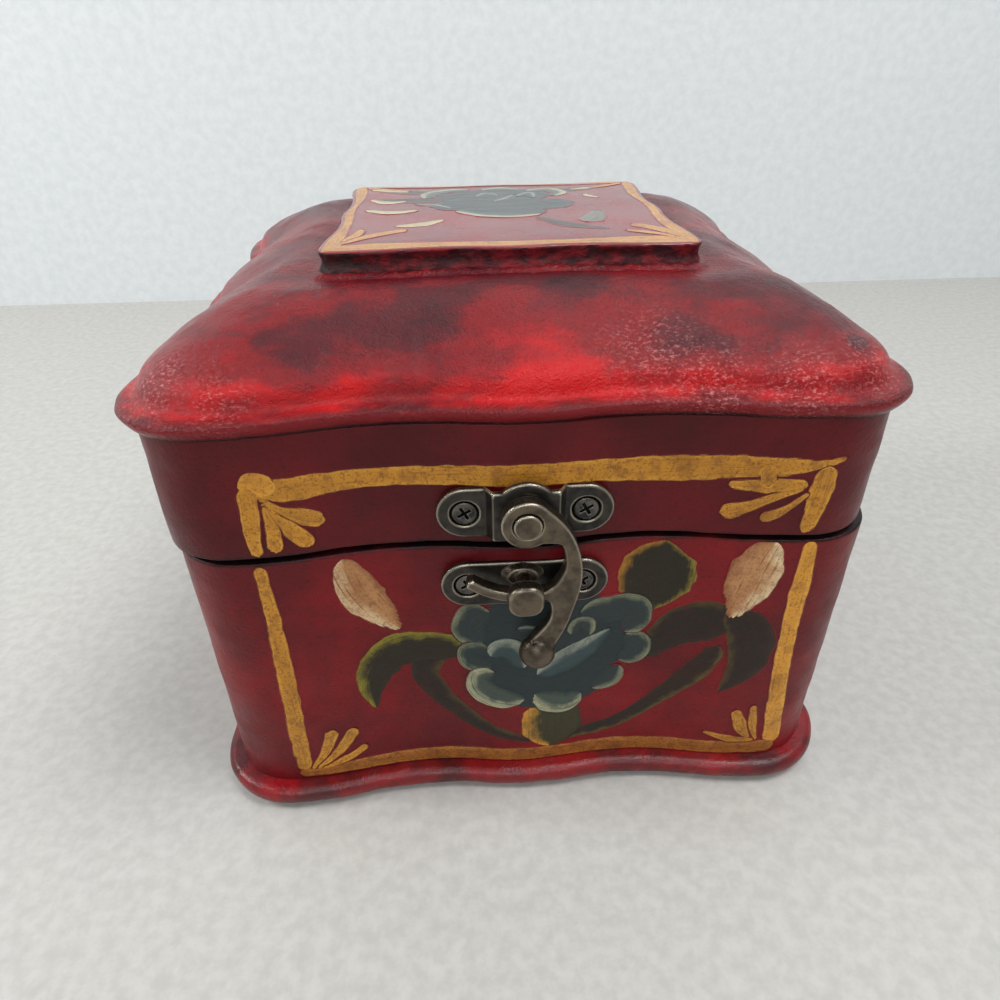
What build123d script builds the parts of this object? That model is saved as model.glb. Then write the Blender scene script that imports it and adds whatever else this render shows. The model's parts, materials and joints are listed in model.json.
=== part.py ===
"""Painted jewelry box: serpentine sides, a pillowed lid with a raised panel, and a swing-hook latch.

Millimetres, +Z up, the front faces -Y. The origin is the centre of the underside.
The base, the lid and the hook are the three bodies that move against each other.
"""

from build123d import *
import math
import os

SIDES = ("front", "back", "left", "right")

# How far a cut runs past what it cuts
CUT_PAST = 1.0

# Outline of the walls, seen from above
WIDTH = 127.0
DEPTH = 123.0
CORNER_RADIUS = 13.0
HOLLOW_DEPTH = 3.1
CREST_SHARE = 0.52
HOLLOW_PLACE = 0.30
WALL = 8.5

# Heights above the table
FELT_TOP = 0.8
PLINTH_TOP = 5.2
BASE_TOP = 63.0
LID_BOTTOM = 64.0
RIM_BOTTOM = 86.9
DOME_START = 89.8
DOME_TOP = 104.2
PANEL_TOP = 107.0

# The lid hangs a little to the left of the base, as the hinges leave it
LID_SHIFT = -1.1

# Plinth board under the base
PLINTH_OVERHANG = 3.6
PLINTH_TOP_ROUND = 2.2
PLINTH_BOTTOM_ROUND = 1.2
FELT_INSET = 5.0
EDGE_ROUND = 0.6

# Pillowed top of the lid
RIM_OVERHANG = 2.2
RIM_ROUND = 2.0
DOME_POWER = 1.8
DOME_SHOULDER = 0.88
DOME_STATIONS = (0.0, 0.04, 0.14, 0.32, 0.55, 0.78, 1.0)
PANEL_WIDTH = 68.6
PANEL_DEPTH = 63.2
PANEL_CORNER = 3.0
PANEL_HOLLOW = 1.4
RIM_HOLLOW = 3.7
PANEL_EDGE_ROUND = 0.6
CEILING = 97.6
CAVITY_LEVELS = ((0.0, 0.0, 2.0), (0.38, 2.2, 5.0), (0.76, 9.0, 10.0), (1.0, 20.0, 12.0))

# Fabric linings on card
LINING = 1.2
FLOOR_PAD = 3.0
LINING_SETBACK = 0.8
PAD_ROUND = 1.0

# Butt hinges with their leaves in the seam
HINGE_PLACE = 40.0
HINGE_LENGTH = 18.0
HINGE_AXIS_Y = DEPTH / 2 + 1.9
HINGE_AXIS_Z = (BASE_TOP + LID_BOTTOM) / 2
BARREL_RADIUS = 1.6
PIN_RADIUS = 0.75
PIN_PLAY = 0.04
PIN_HEAD_RADIUS = 1.15
PIN_HEAD_LENGTH = 0.5
MIDDLE_KNUCKLE = 6.0
KNUCKLE_GAP = 0.1
LEAF_THICKNESS = 0.42
LEAF_INNER_Y = DEPTH / 2 - WALL + 1.5
LEAF_RELIEF = 0.2
HINGE_SCREW_PITCH = 10.0
HINGE_SCREW_Y = DEPTH / 2 - 4.9
HINGE_SCREW_HEAD = 1.5
HINGE_SCREW_SINK = 0.7
HINGE_SCREW_SHANK = 0.8
HINGE_SCREW_LENGTH = 8.0
HINGE_CROSS_LENGTH = 2.0
HINGE_CROSS_DEPTH = 0.35

HINGES = {"left": -HINGE_PLACE, "right": HINGE_PLACE}
HINGE_XS = tuple(HINGES.values())

# Latch plates on the front
LATCH_X = -1.1
LATCH_Z = 70.9
CATCH_Z = 55.4
LOBE_PITCH = 20.6
LOBE_RADIUS = 4.8
SHEET = 1.2
SEAT_Y = -(DEPTH / 2 - 2.4)
SHEET_EDGE_ROUND = 0.4
FRONT_FACING = 0.5
BRIDGE_HALF = 5.6
BRIDGE_SLOPE = 1.2
BRIDGE_RISE = 1.8
BRIDGE_CROWN = 6.5
SEAT_MARGIN = 0.3
HEAD_BORE = 2.5
HEAD_SINK = 0.75

# Latch screws
LATCH_SCREW_HEAD = 2.1
LATCH_SCREW_SHANK = 0.9
LATCH_SCREW_LENGTH = 5.2
LATCH_SCREW_CROWN = 0.18
LATCH_SCREW_DROP = 0.15
LATCH_SCREW_TURN = 30.0
CROSS_WIDTH = 0.55
CROSS_LENGTH = 2.6
CROSS_DEPTH = 0.45

# Rivet that the hook turns on
RIVET_SHANK = 2.0
RIVET_HEAD = 2.45
RIVET_PLAY = 0.05
RIVET_SINK = 0.9
RIVET_PROUD = 0.6
RIVET_CROWN = 0.35
HOOK_GAP = 0.05

# Swing hook, measured from its pivot
HOOK_THICKNESS = 2.7
EYE_RADIUS = 4.5
EYE_SHOULDER_ANGLE = 45.0
EYE_THROAT_ANGLE = 304.0
ARM_OUTER = ((6.6, -0.6), (9.1, -6.6), (9.5, -12.6), (8.1, -19.2), (5.0, -27.2))
TAIL_INNER = ((0.2, -26.4), (2.9, -22.6), (4.3, -18.2))
ARM_INNER = ((5.3, -11.9), (6.5, -8.4), (6.0, -4.9))
LEAVES_SHOULDER = (1, -1)
REACHES_KNOB = (-0.5, -1)
LEAVES_KNOB = (0.6, 1)
REACHES_THROAT = (-1, 0)
HOOK_ROUND = 0.4
PRONG_INNER = 14.35
PRONG_WIDTH = 1.9
PRONG_TIP_ANGLE = 219.5
PRONG_ROOT_ANGLE = 281.0
PRONG_TIP_ROUND = 4.0
KNOB_CENTRE = (2.0, -28.7)
KNOB_RADIUS = 3.4
KNOB_FORWARD = 0.6
KNOB_FLATNESS = 0.85

# Catch post that the prong passes under
POST_X = -1.6
POST_Z = 58.0
POST_NECK = 1.3
POST_NECK_END = 5.9
BOSS_ROOT = (4.0, 2.4)
BOSS_TIP = (2.7, 1.8)
BOSS_HEIGHT = 1.5
HEAD_SIZE = 6.2
HEAD_CORNER = 2.4
HEAD_LENGTH = 2.8
HEAD_ROUND = 0.8
TENON_RADIUS = 1.35

HALF_X = WIDTH / 2
HALF_Y = DEPTH / 2
INNER_X = HALF_X - WALL
INNER_Y = HALF_Y - WALL
SEAT_FRONT = SEAT_Y - SHEET
HOOK_BACK = SEAT_FRONT - BRIDGE_RISE - HOOK_GAP
HOOK_FRONT = HOOK_BACK - HOOK_THICKNESS


def serpentine(width, depth, corner, hollow):
    """Closed outline: each side swings from its corners into two hollows and out to a low centre crest.

    Every swing is a pair of equal tangent arcs, and the corners are quarter circles.
    """
    sides = [
        (Vector(1, 0), Vector(0, -1), width / 2, depth / 2),
        (Vector(0, 1), Vector(1, 0), depth / 2, width / 2),
        (Vector(-1, 0), Vector(0, 1), width / 2, depth / 2),
        (Vector(0, -1), Vector(-1, 0), depth / 2, width / 2),
    ]
    edges = []
    for side, (along, outward, reach, face) in enumerate(sides):
        end = reach - corner
        bend = HOLLOW_PLACE * reach
        stations = [(-end, 0), (-bend, hollow), (0, CREST_SHARE * hollow), (bend, hollow), (end, 0)]
        points = [along * place + outward * (face - fall) for place, fall in stations]
        for start, stop in zip(points, points[1:]):
            middle = (start + stop) * 0.5
            first = TangentArc(start, middle, tangent=along)
            edges += [first, TangentArc(middle, stop, tangent=first % 1)]
        next_along, next_out, next_reach, next_face = sides[(side + 1) % len(sides)]
        next_start = next_along * (corner - next_reach) + next_out * next_face
        edges.append(TangentArc(points[-1], next_start, tangent=along))
    return Wire([curve.edge() for curve in edges])


def slab(wire, bottom, top):
    """Straight solid over a closed outline, between two heights."""
    return Pos(0, 0, bottom) * extrude(Face(wire), amount=top - bottom, dir=(0, 0, 1))


def block(low, high):
    """Box between two opposite corners."""
    size = [b - a for a, b in zip(low, high)]
    return Pos(*low) * Box(*size, align=(Align.MIN, Align.MIN, Align.MIN))


def cylinder_y(radius, y_front, y_back, x, z):
    """Cylinder along Y between two places."""
    turned = Location((x, y_back, z), (90, 0, 0))
    return turned * Cylinder(radius, y_back - y_front, align=(Align.CENTER, Align.CENTER, Align.MIN))


def mitre_wedge(side):
    """Column that holds one wall of four, cut along the 45 degree mitres at the corners."""
    reach = 3 * WALL
    corners = [
        (-INNER_X, -INNER_Y),
        (INNER_X, -INNER_Y),
        (INNER_X + reach, -INNER_Y - reach),
        (-INNER_X - reach, -INNER_Y - reach),
    ]
    turned = [
        (-INNER_X, INNER_Y),
        (-INNER_X, -INNER_Y),
        (-INNER_X - reach, -INNER_Y - reach),
        (-INNER_X - reach, INNER_Y + reach),
    ]
    points = corners if side in ("front", "back") else turned
    flip = -1 if side in ("back", "right") else 1
    outline = Polyline(*[(flip * x, flip * y) for x, y in points], close=True)
    return extrude(make_face(outline), amount=PANEL_TOP, dir=(0, 0, 1))


def walls(bottom, top, soft_edge):
    """The four mitred wall boards between two heights, shaped outside and flat inside."""
    solid = slab(serpentine(WIDTH, DEPTH, CORNER_RADIUS, HOLLOW_DEPTH), bottom, top)
    level = solid.edges().group_by(Axis.Z)[0 if soft_edge == "bottom" else -1]
    solid = fillet(level, EDGE_ROUND)
    solid -= block((-INNER_X, -INNER_Y, bottom - CUT_PAST), (INNER_X, INNER_Y, top + CUT_PAST))
    return {side: solid & mitre_wedge(side) for side in SIDES}


def plinth_board():
    """Board under the walls, its edge rounded like a bead."""
    outline = serpentine(
        WIDTH + 2 * PLINTH_OVERHANG,
        DEPTH + 2 * PLINTH_OVERHANG,
        CORNER_RADIUS + PLINTH_OVERHANG,
        HOLLOW_DEPTH,
    )
    board = slab(outline, FELT_TOP, PLINTH_TOP)
    board = fillet(board.edges().group_by(Axis.Z)[-1], PLINTH_TOP_ROUND)
    return fillet(board.edges().group_by(Axis.Z)[0], PLINTH_BOTTOM_ROUND)


def underside_felt():
    """Felt sheet that the box stands on."""
    outline = serpentine(
        WIDTH - 2 * FELT_INSET,
        DEPTH - 2 * FELT_INSET,
        CORNER_RADIUS - FELT_INSET,
        HOLLOW_DEPTH,
    )
    return slab(outline, 0, FELT_TOP)


def blend(first, second, share):
    """Value part of the way from the first to the second."""
    return first + (second - first) * share


def dome_section(share):
    """Level outline of the pillow: share 0 is the rim, share 1 the foot of the raised panel."""
    rise = (1 - (1 - share) ** DOME_POWER) ** DOME_SHOULDER
    height = DOME_START + (DOME_TOP - DOME_START) * rise
    outline = serpentine(
        blend(WIDTH + 2 * RIM_OVERHANG, PANEL_WIDTH, share),
        blend(DEPTH + 2 * RIM_OVERHANG, PANEL_DEPTH, share),
        blend(CORNER_RADIUS + RIM_OVERHANG, PANEL_CORNER, share),
        blend(RIM_HOLLOW, PANEL_HOLLOW, share),
    )
    return Pos(0, 0, height) * outline


def dome_cavity(skin):
    """Hollow under the pillow, drawn in by a skin of the given thickness.

    Each level gives its share of the rise, how far it is drawn in, and its corner radius.
    """
    rise = CEILING - RIM_BOTTOM
    sections = []
    for share, inset, corner in CAVITY_LEVELS:
        rectangle = RectangleRounded(
            2 * (INNER_X - inset - skin), 2 * (INNER_Y - inset - skin), corner
        )
        height = RIM_BOTTOM + share * (rise - skin)
        sections.append(Pos(0, 0, height) * rectangle)
    return loft(sections)


def lid_dome():
    """Pillowed top with a rolled rim, hollow underneath."""
    outline = serpentine(
        WIDTH + 2 * RIM_OVERHANG,
        DEPTH + 2 * RIM_OVERHANG,
        CORNER_RADIUS + RIM_OVERHANG,
        RIM_HOLLOW,
    )
    rim = slab(outline, RIM_BOTTOM, DOME_START)
    rim = fillet(rim.edges().group_by(Axis.Z)[0], RIM_ROUND)
    pillow = Solid.make_loft([dome_section(share) for share in DOME_STATIONS])
    return rim + pillow - dome_cavity(0)


def top_panel():
    """Thin board on top of the pillow."""
    outline = serpentine(PANEL_WIDTH, PANEL_DEPTH, PANEL_CORNER, PANEL_HOLLOW)
    board = slab(outline, DOME_TOP, PANEL_TOP)
    return fillet(board.edges().group_by(Axis.Z)[-1], PANEL_EDGE_ROUND)


def lid_crown_lining():
    """Fabric on card, pressed up into the hollow of the pillow."""
    return dome_cavity(0) - dome_cavity(LINING)


def floor_pad():
    """Padded floor of the base."""
    pad = block(
        (-INNER_X, -INNER_Y, PLINTH_TOP),
        (INNER_X, INNER_Y, PLINTH_TOP + FLOOR_PAD),
    )
    return fillet(pad.edges().group_by(Axis.Z)[-1], PAD_ROUND)


def side_linings(bottom, top):
    """Four fabric-covered cards against the flat inner faces of the walls."""
    x_in = INNER_X - LINING
    y_in = INNER_Y - LINING
    return {
        "front": block((-INNER_X, -INNER_Y, bottom), (INNER_X, -y_in, top)),
        "back": block((-INNER_X, y_in, bottom), (INNER_X, INNER_Y, top)),
        "left": block((-INNER_X, -y_in, bottom), (-x_in, y_in, top)),
        "right": block((x_in, -y_in, bottom), (INNER_X, y_in, top)),
    }


def hinge_screw_body():
    """Countersunk screw, its head level with the origin and its point up."""
    profile = Polyline(
        (0, 0),
        (HINGE_SCREW_HEAD, 0),
        (HINGE_SCREW_SHANK, HINGE_SCREW_SINK),
        (HINGE_SCREW_SHANK, HINGE_SCREW_LENGTH - 2 * HINGE_SCREW_SHANK),
        (0, HINGE_SCREW_LENGTH),
        close=True,
    )
    return revolve(Plane.XZ * make_face(profile), Axis.Z)


def cross_slot(length, depth):
    """Cutter for a cross slot, centred on the face of a screw head that lies in XY."""
    arm = Box(length, CROSS_WIDTH, 2 * depth)
    return arm + Rot(0, 0, 90) * arm


def hinge_screw_places(x_centre, upward):
    """Where the two screws of one leaf go: down into the base or up into the lid."""
    face = LID_BOTTOM - LEAF_THICKNESS if upward else BASE_TOP + LEAF_THICKNESS
    turn = Rot(0, 0, 0) if upward else Rot(180, 0, 0)
    offsets = (-HINGE_SCREW_PITCH / 2, HINGE_SCREW_PITCH / 2)
    return [Pos(x_centre + offset, HINGE_SCREW_Y, face) * turn for offset in offsets]


def hinge_barrel(radius, start, stop):
    """Cylinder on the hinge axis between two places along it."""
    place = Location((start, HINGE_AXIS_Y, HINGE_AXIS_Z), (0, 90, 0))
    return place * Cylinder(radius, stop - start, align=(Align.CENTER, Align.CENTER, Align.MIN))


def hinge_leaf(x_centre, upward):
    """One leaf with its knuckles: two outer ones on the lower leaf, the middle one on the upper."""
    middle = MIDDLE_KNUCKLE / 2
    outer = HINGE_LENGTH / 2
    gap = middle + KNUCKLE_GAP
    spans = [(-middle, middle)] if upward else [(-outer, -gap), (gap, outer)]
    low = LID_BOTTOM - LEAF_THICKNESS if upward else BASE_TOP
    high = low + LEAF_THICKNESS
    relief_y = HINGE_AXIS_Y - BARREL_RADIUS - LEAF_RELIEF
    leaf = block((-outer, LEAF_INNER_Y, low), (outer, relief_y, high))
    for start, stop in spans:
        leaf += block((start, relief_y, low), (stop, HINGE_AXIS_Y - PIN_RADIUS, high))
        leaf += hinge_barrel(BARREL_RADIUS, start, stop)
    leaf -= hinge_barrel(PIN_RADIUS + (PIN_PLAY if upward else 0), -2 * outer, 2 * outer)
    leaf = Pos(x_centre, 0, 0) * leaf
    for place in hinge_screw_places(x_centre, upward):
        leaf -= place * hinge_screw_body()
    return leaf


def hinge_pin(x_centre):
    """Pin through the knuckles, with a low head at each end."""
    half = HINGE_LENGTH / 2
    pin = hinge_barrel(PIN_RADIUS, -half, half)
    pin += hinge_barrel(PIN_HEAD_RADIUS, half, half + PIN_HEAD_LENGTH)
    pin += hinge_barrel(PIN_HEAD_RADIUS, -half - PIN_HEAD_LENGTH, -half)
    return Pos(x_centre, 0, 0) * pin


def hinge_screws(upward):
    """All the hinge screws that go one way, as separate solids."""
    slot = cross_slot(HINGE_CROSS_LENGTH, HINGE_CROSS_DEPTH)
    screw = hinge_screw_body() - slot
    places = [place for x in HINGE_XS for place in hinge_screw_places(x, upward)]
    return Compound(children=[place * screw for place in places])


def drill_hinge_seats(wall, upward):
    """A back wall with the seats of its hinge screws cut into it."""
    for x_centre in HINGE_XS:
        for place in hinge_screw_places(x_centre, upward):
            wall -= place * hinge_screw_body()
    return wall


def front_prism(face, y_front, y_back):
    """A face drawn in X and Z, given thickness between two places in Y."""
    return Pos(0, y_back, 0) * extrude(Plane.XZ * face, amount=y_back - y_front, dir=(0, -1, 0))


def pill(radius, pitch):
    """Two round lobes and what joins them."""
    return SlotCenterToCenter(pitch, 2 * radius)


def latch_face():
    """Outline of the hook's plate: a pill with a low crown over the pivot."""
    crown = ThreePointArc((-BRIDGE_HALF, 0), (0, BRIDGE_CROWN), (BRIDGE_HALF, 0))
    base = Line((BRIDGE_HALF, 0), (-BRIDGE_HALF, 0))
    return pill(LOBE_RADIUS, LOBE_PITCH) + make_face([crown, base])


def joggled_sheet():
    """Sheet seen from above: flat lobes on the wall and a bridge that stands out between them."""
    reach = LOBE_PITCH
    slope = BRIDGE_HALF + BRIDGE_SLOPE
    right = [(BRIDGE_HALF, BRIDGE_RISE), (slope, 0), (reach, 0)]
    line = [(-x, rise) for x, rise in reversed(right)] + right
    back = [(x, SEAT_Y - rise) for x, rise in line]
    front = [(x, SEAT_FRONT - rise) for x, rise in reversed(line)]
    sheet = make_face(Polyline(*back, *front, close=True))
    return Pos(0, 0, -2 * LOBE_RADIUS) * extrude(sheet, amount=4 * LOBE_RADIUS, dir=(0, 0, 1))


def screw_places(z):
    """Centres of the two screw heads of a latch plate at one height."""
    return [(LATCH_X - LOBE_PITCH / 2, z), (LATCH_X + LOBE_PITCH / 2, z)]


def bore_plate(plate, z):
    """Recessed screw holes in the lobes of a plate."""
    for x, height in screw_places(z):
        plate -= cylinder_y(HEAD_BORE, SEAT_FRONT - CUT_PAST, SEAT_FRONT + HEAD_SINK, x, height)
        plate -= cylinder_y(LATCH_SCREW_SHANK, SEAT_FRONT - CUT_PAST, SEAT_Y + CUT_PAST, x, height)
    return plate


def soften_rim(plate):
    """A plate with the rim of its front rounded, and its bends left as they are."""
    front = [face for face in plate.faces() if face.normal_at().Y < -FRONT_FACING]
    edges = ShapeList(edge for face in front for edge in face.edges())
    return fillet(edges.filter_by(Axis.Z, reverse=True), SHEET_EDGE_ROUND)


def latch_plate():
    """Plate on the lid, with a bridge in the middle that carries the pivot."""
    blank = front_prism(latch_face(), SEAT_FRONT - BRIDGE_RISE - CUT_PAST, SEAT_Y + CUT_PAST)
    plate = Pos(LATCH_X, 0, LATCH_Z) * soften_rim(blank & joggled_sheet())
    plate -= cylinder_y(RIVET_SHANK, HOOK_BACK - CUT_PAST, SEAT_Y, LATCH_X, LATCH_Z)
    return bore_plate(plate, LATCH_Z)


def catch_plate():
    """Plate on the base that carries the catch post."""
    blank = front_prism(pill(LOBE_RADIUS, LOBE_PITCH), SEAT_FRONT, SEAT_Y)
    plate = Pos(LATCH_X, 0, CATCH_Z) * soften_rim(blank)
    plate -= cylinder_y(TENON_RADIUS, SEAT_FRONT - CUT_PAST, SEAT_Y + CUT_PAST, POST_X, POST_Z)
    return bore_plate(plate, CATCH_Z)


def latch_screw(x, z):
    """Round-headed cross screw that lies back in its plate."""
    head_back = SEAT_FRONT + HEAD_SINK
    head_front = SEAT_FRONT + LATCH_SCREW_DROP
    head = cylinder_y(LATCH_SCREW_HEAD, head_front, head_back, x, z)
    head = fillet(head.edges().group_by(Axis.Y)[0], LATCH_SCREW_CROWN)
    shank = cylinder_y(LATCH_SCREW_SHANK, head_back, head_back + LATCH_SCREW_LENGTH, x, z)
    slot_place = Location((x, head_front, z), (90, 0, LATCH_SCREW_TURN))
    return head + shank - slot_place * cross_slot(CROSS_LENGTH, CROSS_DEPTH)


def latch_screws(z):
    """Both screws of a latch plate, as separate solids."""
    return Compound(children=[latch_screw(x, height) for x, height in screw_places(z)])


def latch_rivet():
    """Rivet held by the plate: the hook's eye turns on its shank, behind its low crowned head."""
    back = SEAT_FRONT - BRIDGE_RISE + SHEET
    head_back = HOOK_FRONT + RIVET_SINK
    head_front = HOOK_FRONT - RIVET_PROUD
    shank = cylinder_y(RIVET_SHANK, head_back, back, LATCH_X, LATCH_Z)
    head = cylinder_y(RIVET_HEAD, head_front, head_back, LATCH_X, LATCH_Z)
    return shank + fillet(head.edges().group_by(Axis.Y)[0], RIVET_CROWN)


def polar(radius, degrees):
    """Point at an angle round the pivot, from +X towards +Z."""
    return (radius * math.cos(math.radians(degrees)), radius * math.sin(math.radians(degrees)))


def hook_face():
    """Outline of the hook round its pivot: eye, arm down the right, foot in the knob, and the prong.

    The prong's inner edge is an arc round the pivot, so that it slides under the post as the hook turns.
    """
    prong_outer = PRONG_INNER + PRONG_WIDTH
    prong_middle = (PRONG_ROOT_ANGLE + PRONG_TIP_ANGLE) / 2
    shoulder = polar(EYE_RADIUS, EYE_SHOULDER_ANGLE)
    throat = polar(EYE_RADIUS, EYE_THROAT_ANGLE)
    root_in = polar(PRONG_INNER, PRONG_ROOT_ANGLE)
    root_out = polar(prong_outer, PRONG_ROOT_ANGLE)
    tip_in = polar(PRONG_INNER, PRONG_TIP_ANGLE)
    tip_end = polar((PRONG_INNER + prong_outer) / 2, PRONG_TIP_ANGLE - PRONG_TIP_ROUND)
    tip_out = polar(prong_outer, PRONG_TIP_ANGLE)
    edges = [
        ThreePointArc(throat, (-EYE_RADIUS, 0), shoulder),
        Spline(shoulder, *ARM_OUTER, tangents=[LEAVES_SHOULDER, REACHES_KNOB]),
        Line(ARM_OUTER[-1], TAIL_INNER[0]),
        Spline(*TAIL_INNER, root_out, tangents=[LEAVES_KNOB, polar(-1, PRONG_ROOT_ANGLE + 90)]),
        ThreePointArc(root_out, polar(prong_outer, prong_middle), tip_out),
        ThreePointArc(tip_out, tip_end, tip_in),
        ThreePointArc(tip_in, polar(PRONG_INNER, prong_middle), root_in),
        Spline(root_in, *ARM_INNER, throat, tangents=[polar(1, PRONG_ROOT_ANGLE + 90), REACHES_THROAT]),
    ]
    return make_face(edges)


def swing_hook():
    """Cast hook: eye, arm, prong and a thick knob to push with the thumb."""
    body = front_prism(hook_face(), HOOK_FRONT, HOOK_BACK)
    body = fillet(body.edges().group_by(Axis.Y)[0], HOOK_ROUND)
    knob_y = (HOOK_FRONT + HOOK_BACK) / 2 - KNOB_FORWARD
    knob = scale(Sphere(KNOB_RADIUS), (1, KNOB_FLATNESS, 1))
    body += Pos(KNOB_CENTRE[0], knob_y, KNOB_CENTRE[1]) * knob
    body -= cylinder_y(RIVET_SHANK + RIVET_PLAY, HOOK_FRONT - CUT_PAST, HOOK_BACK + CUT_PAST, 0, 0)
    seat_back = HOOK_FRONT + RIVET_SINK + RIVET_PLAY
    body -= cylinder_y(RIVET_HEAD + RIVET_PLAY, HOOK_FRONT - CUT_PAST, seat_back, 0, 0)
    return Pos(LATCH_X, 0, LATCH_Z) * body


def catch_post():
    """Stepped post: an oval boss, a neck that the prong passes under, and a rounded square head."""
    boss_front = SEAT_FRONT - BOSS_HEIGHT
    neck_front = SEAT_FRONT - POST_NECK_END
    tenon = cylinder_y(TENON_RADIUS, SEAT_FRONT, SEAT_Y, 0, 0)
    foot = Pos(0, SEAT_FRONT, 0) * (Plane.XZ * Ellipse(*BOSS_ROOT))
    crown = Pos(0, boss_front, 0) * (Plane.XZ * Ellipse(*BOSS_TIP))
    boss = loft([foot, crown])
    neck = cylinder_y(POST_NECK, neck_front, boss_front, 0, 0)
    head_face = RectangleRounded(HEAD_SIZE, HEAD_SIZE, HEAD_CORNER)
    head = front_prism(head_face, neck_front - HEAD_LENGTH, neck_front)
    head = fillet(head.edges().group_by(Axis.Y)[0], HEAD_ROUND)
    return Pos(POST_X, 0, POST_Z) * (tenon + boss + neck + head)


def seat_front_wall(wall, plate_face, z):
    """A front wall with the flat seat of its latch plate and the screw holes."""
    seat = offset(plate_face, SEAT_MARGIN)
    wall -= Pos(LATCH_X, 0, z) * front_prism(seat, SEAT_Y - LOBE_RADIUS, SEAT_Y)
    screw_end = SEAT_FRONT + HEAD_SINK + LATCH_SCREW_LENGTH
    for x, height in screw_places(z):
        wall -= cylinder_y(LATCH_SCREW_SHANK, SEAT_Y - CUT_PAST, screw_end, x, height)
    return wall


def base_parts():
    """Every piece of the base, by name."""
    parts = {"plinth_board": plinth_board(), "underside_felt": underside_felt()}
    boards = walls(PLINTH_TOP, BASE_TOP, "top")
    boards["front"] = seat_front_wall(boards["front"], pill(LOBE_RADIUS, LOBE_PITCH), CATCH_Z)
    boards["back"] = drill_hinge_seats(boards["back"], False)
    parts.update({f"base_{side}_wall": board for side, board in boards.items()})
    parts["floor_pad"] = floor_pad()
    linings = side_linings(PLINTH_TOP + FLOOR_PAD, BASE_TOP - LINING_SETBACK)
    parts.update({f"base_{side}_lining": lining for side, lining in linings.items()})
    for side, x_centre in HINGES.items():
        parts[f"{side}_hinge_lower_leaf"] = hinge_leaf(x_centre, False)
        parts[f"{side}_hinge_pin"] = hinge_pin(x_centre)
    parts["hinge_screws_lower"] = hinge_screws(False)
    parts["catch_plate"] = catch_plate()
    parts["catch_post"] = catch_post()
    parts["catch_screws"] = latch_screws(CATCH_Z)
    return parts


def lid_parts():
    """Every piece of the lid, by name. The woodwork and its linings carry the lid's shift."""
    boards = walls(LID_BOTTOM, RIM_BOTTOM, "bottom")
    shifted = {f"lid_{side}_wall": board for side, board in boards.items()}
    shifted["lid_dome"] = lid_dome()
    shifted["top_panel"] = top_panel()
    shifted["lid_crown_lining"] = lid_crown_lining()
    linings = side_linings(LID_BOTTOM + LINING_SETBACK, RIM_BOTTOM)
    shifted.update({f"lid_{side}_lining": lining for side, lining in linings.items()})
    parts = {name: Pos(LID_SHIFT, 0, 0) * shape for name, shape in shifted.items()}
    parts["lid_front_wall"] = seat_front_wall(parts["lid_front_wall"], latch_face(), LATCH_Z)
    parts["lid_back_wall"] = drill_hinge_seats(parts["lid_back_wall"], True)
    for side, x_centre in HINGES.items():
        parts[f"{side}_hinge_upper_leaf"] = hinge_leaf(x_centre, True)
    parts["hinge_screws_upper"] = hinge_screws(True)
    parts["latch_plate"] = latch_plate()
    parts["latch_rivet"] = latch_rivet()
    parts["latch_screws"] = latch_screws(LATCH_Z)
    return parts


def main():
    """Write every piece to its own file."""
    os.makedirs("parts", exist_ok=True)
    nodes = {**base_parts(), **lid_parts(), "swing_hook": swing_hook()}
    for name, shape in nodes.items():
        export_step(shape, f"parts/{name}.step")


main()
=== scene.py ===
"""Looks of the painted jewelry box: lacquered skins, brushwork, linings and antique bronze fittings.

Lengths in this script are millimetres unless a comment says otherwise. Blender's own unit is the metre.
"""

import json
import math
from collections import namedtuple

import bpy
import numpy as np
from mathutils import Matrix, Vector, noise
from mathutils.bvhtree import BVHTree


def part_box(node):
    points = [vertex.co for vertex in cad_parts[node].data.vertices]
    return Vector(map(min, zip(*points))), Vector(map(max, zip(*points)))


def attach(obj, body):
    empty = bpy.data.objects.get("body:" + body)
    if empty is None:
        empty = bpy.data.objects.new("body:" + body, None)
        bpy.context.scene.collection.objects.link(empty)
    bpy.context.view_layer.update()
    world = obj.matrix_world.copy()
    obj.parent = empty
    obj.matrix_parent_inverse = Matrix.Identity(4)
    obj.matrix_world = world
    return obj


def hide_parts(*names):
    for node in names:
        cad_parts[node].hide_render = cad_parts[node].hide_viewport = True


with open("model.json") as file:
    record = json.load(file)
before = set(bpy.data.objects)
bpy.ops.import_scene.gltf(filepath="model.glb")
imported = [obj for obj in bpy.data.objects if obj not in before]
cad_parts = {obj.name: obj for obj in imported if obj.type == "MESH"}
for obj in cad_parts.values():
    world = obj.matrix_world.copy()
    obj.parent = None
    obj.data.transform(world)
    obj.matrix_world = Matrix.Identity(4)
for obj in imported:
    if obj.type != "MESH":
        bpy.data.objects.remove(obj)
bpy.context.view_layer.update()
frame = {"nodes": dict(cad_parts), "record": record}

MM = 0.001

# Sizes read from the frame


def node_span(name):
    """Lowest and highest corner of a CAD node, in millimetres."""
    low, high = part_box(name)
    return np.array(low) / MM, np.array(high) / MM


def joined_span(*names):
    """Box round several CAD nodes, in millimetres."""
    spans = [node_span(name) for name in names]
    return np.min([low for low, high in spans], axis=0), np.max([high for low, high in spans], axis=0)


def halves(low, high):
    """Half the width and half the depth of a box."""
    return (high[0] - low[0]) / 2, (high[1] - low[1]) / 2


SIDES = ("front", "back", "left", "right")
BASE_WALLS = [f"base_{side}_wall" for side in SIDES]
LID_WALLS = [f"lid_{side}_wall" for side in SIDES]

base_low, base_high = joined_span(*BASE_WALLS)
lid_low, lid_high = joined_span(*LID_WALLS)
plinth_low, plinth_high = node_span("plinth_board")
dome_low, dome_high = node_span("lid_dome")
panel_low, panel_high = node_span("top_panel")
pad_low, pad_high = node_span("floor_pad")

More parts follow.
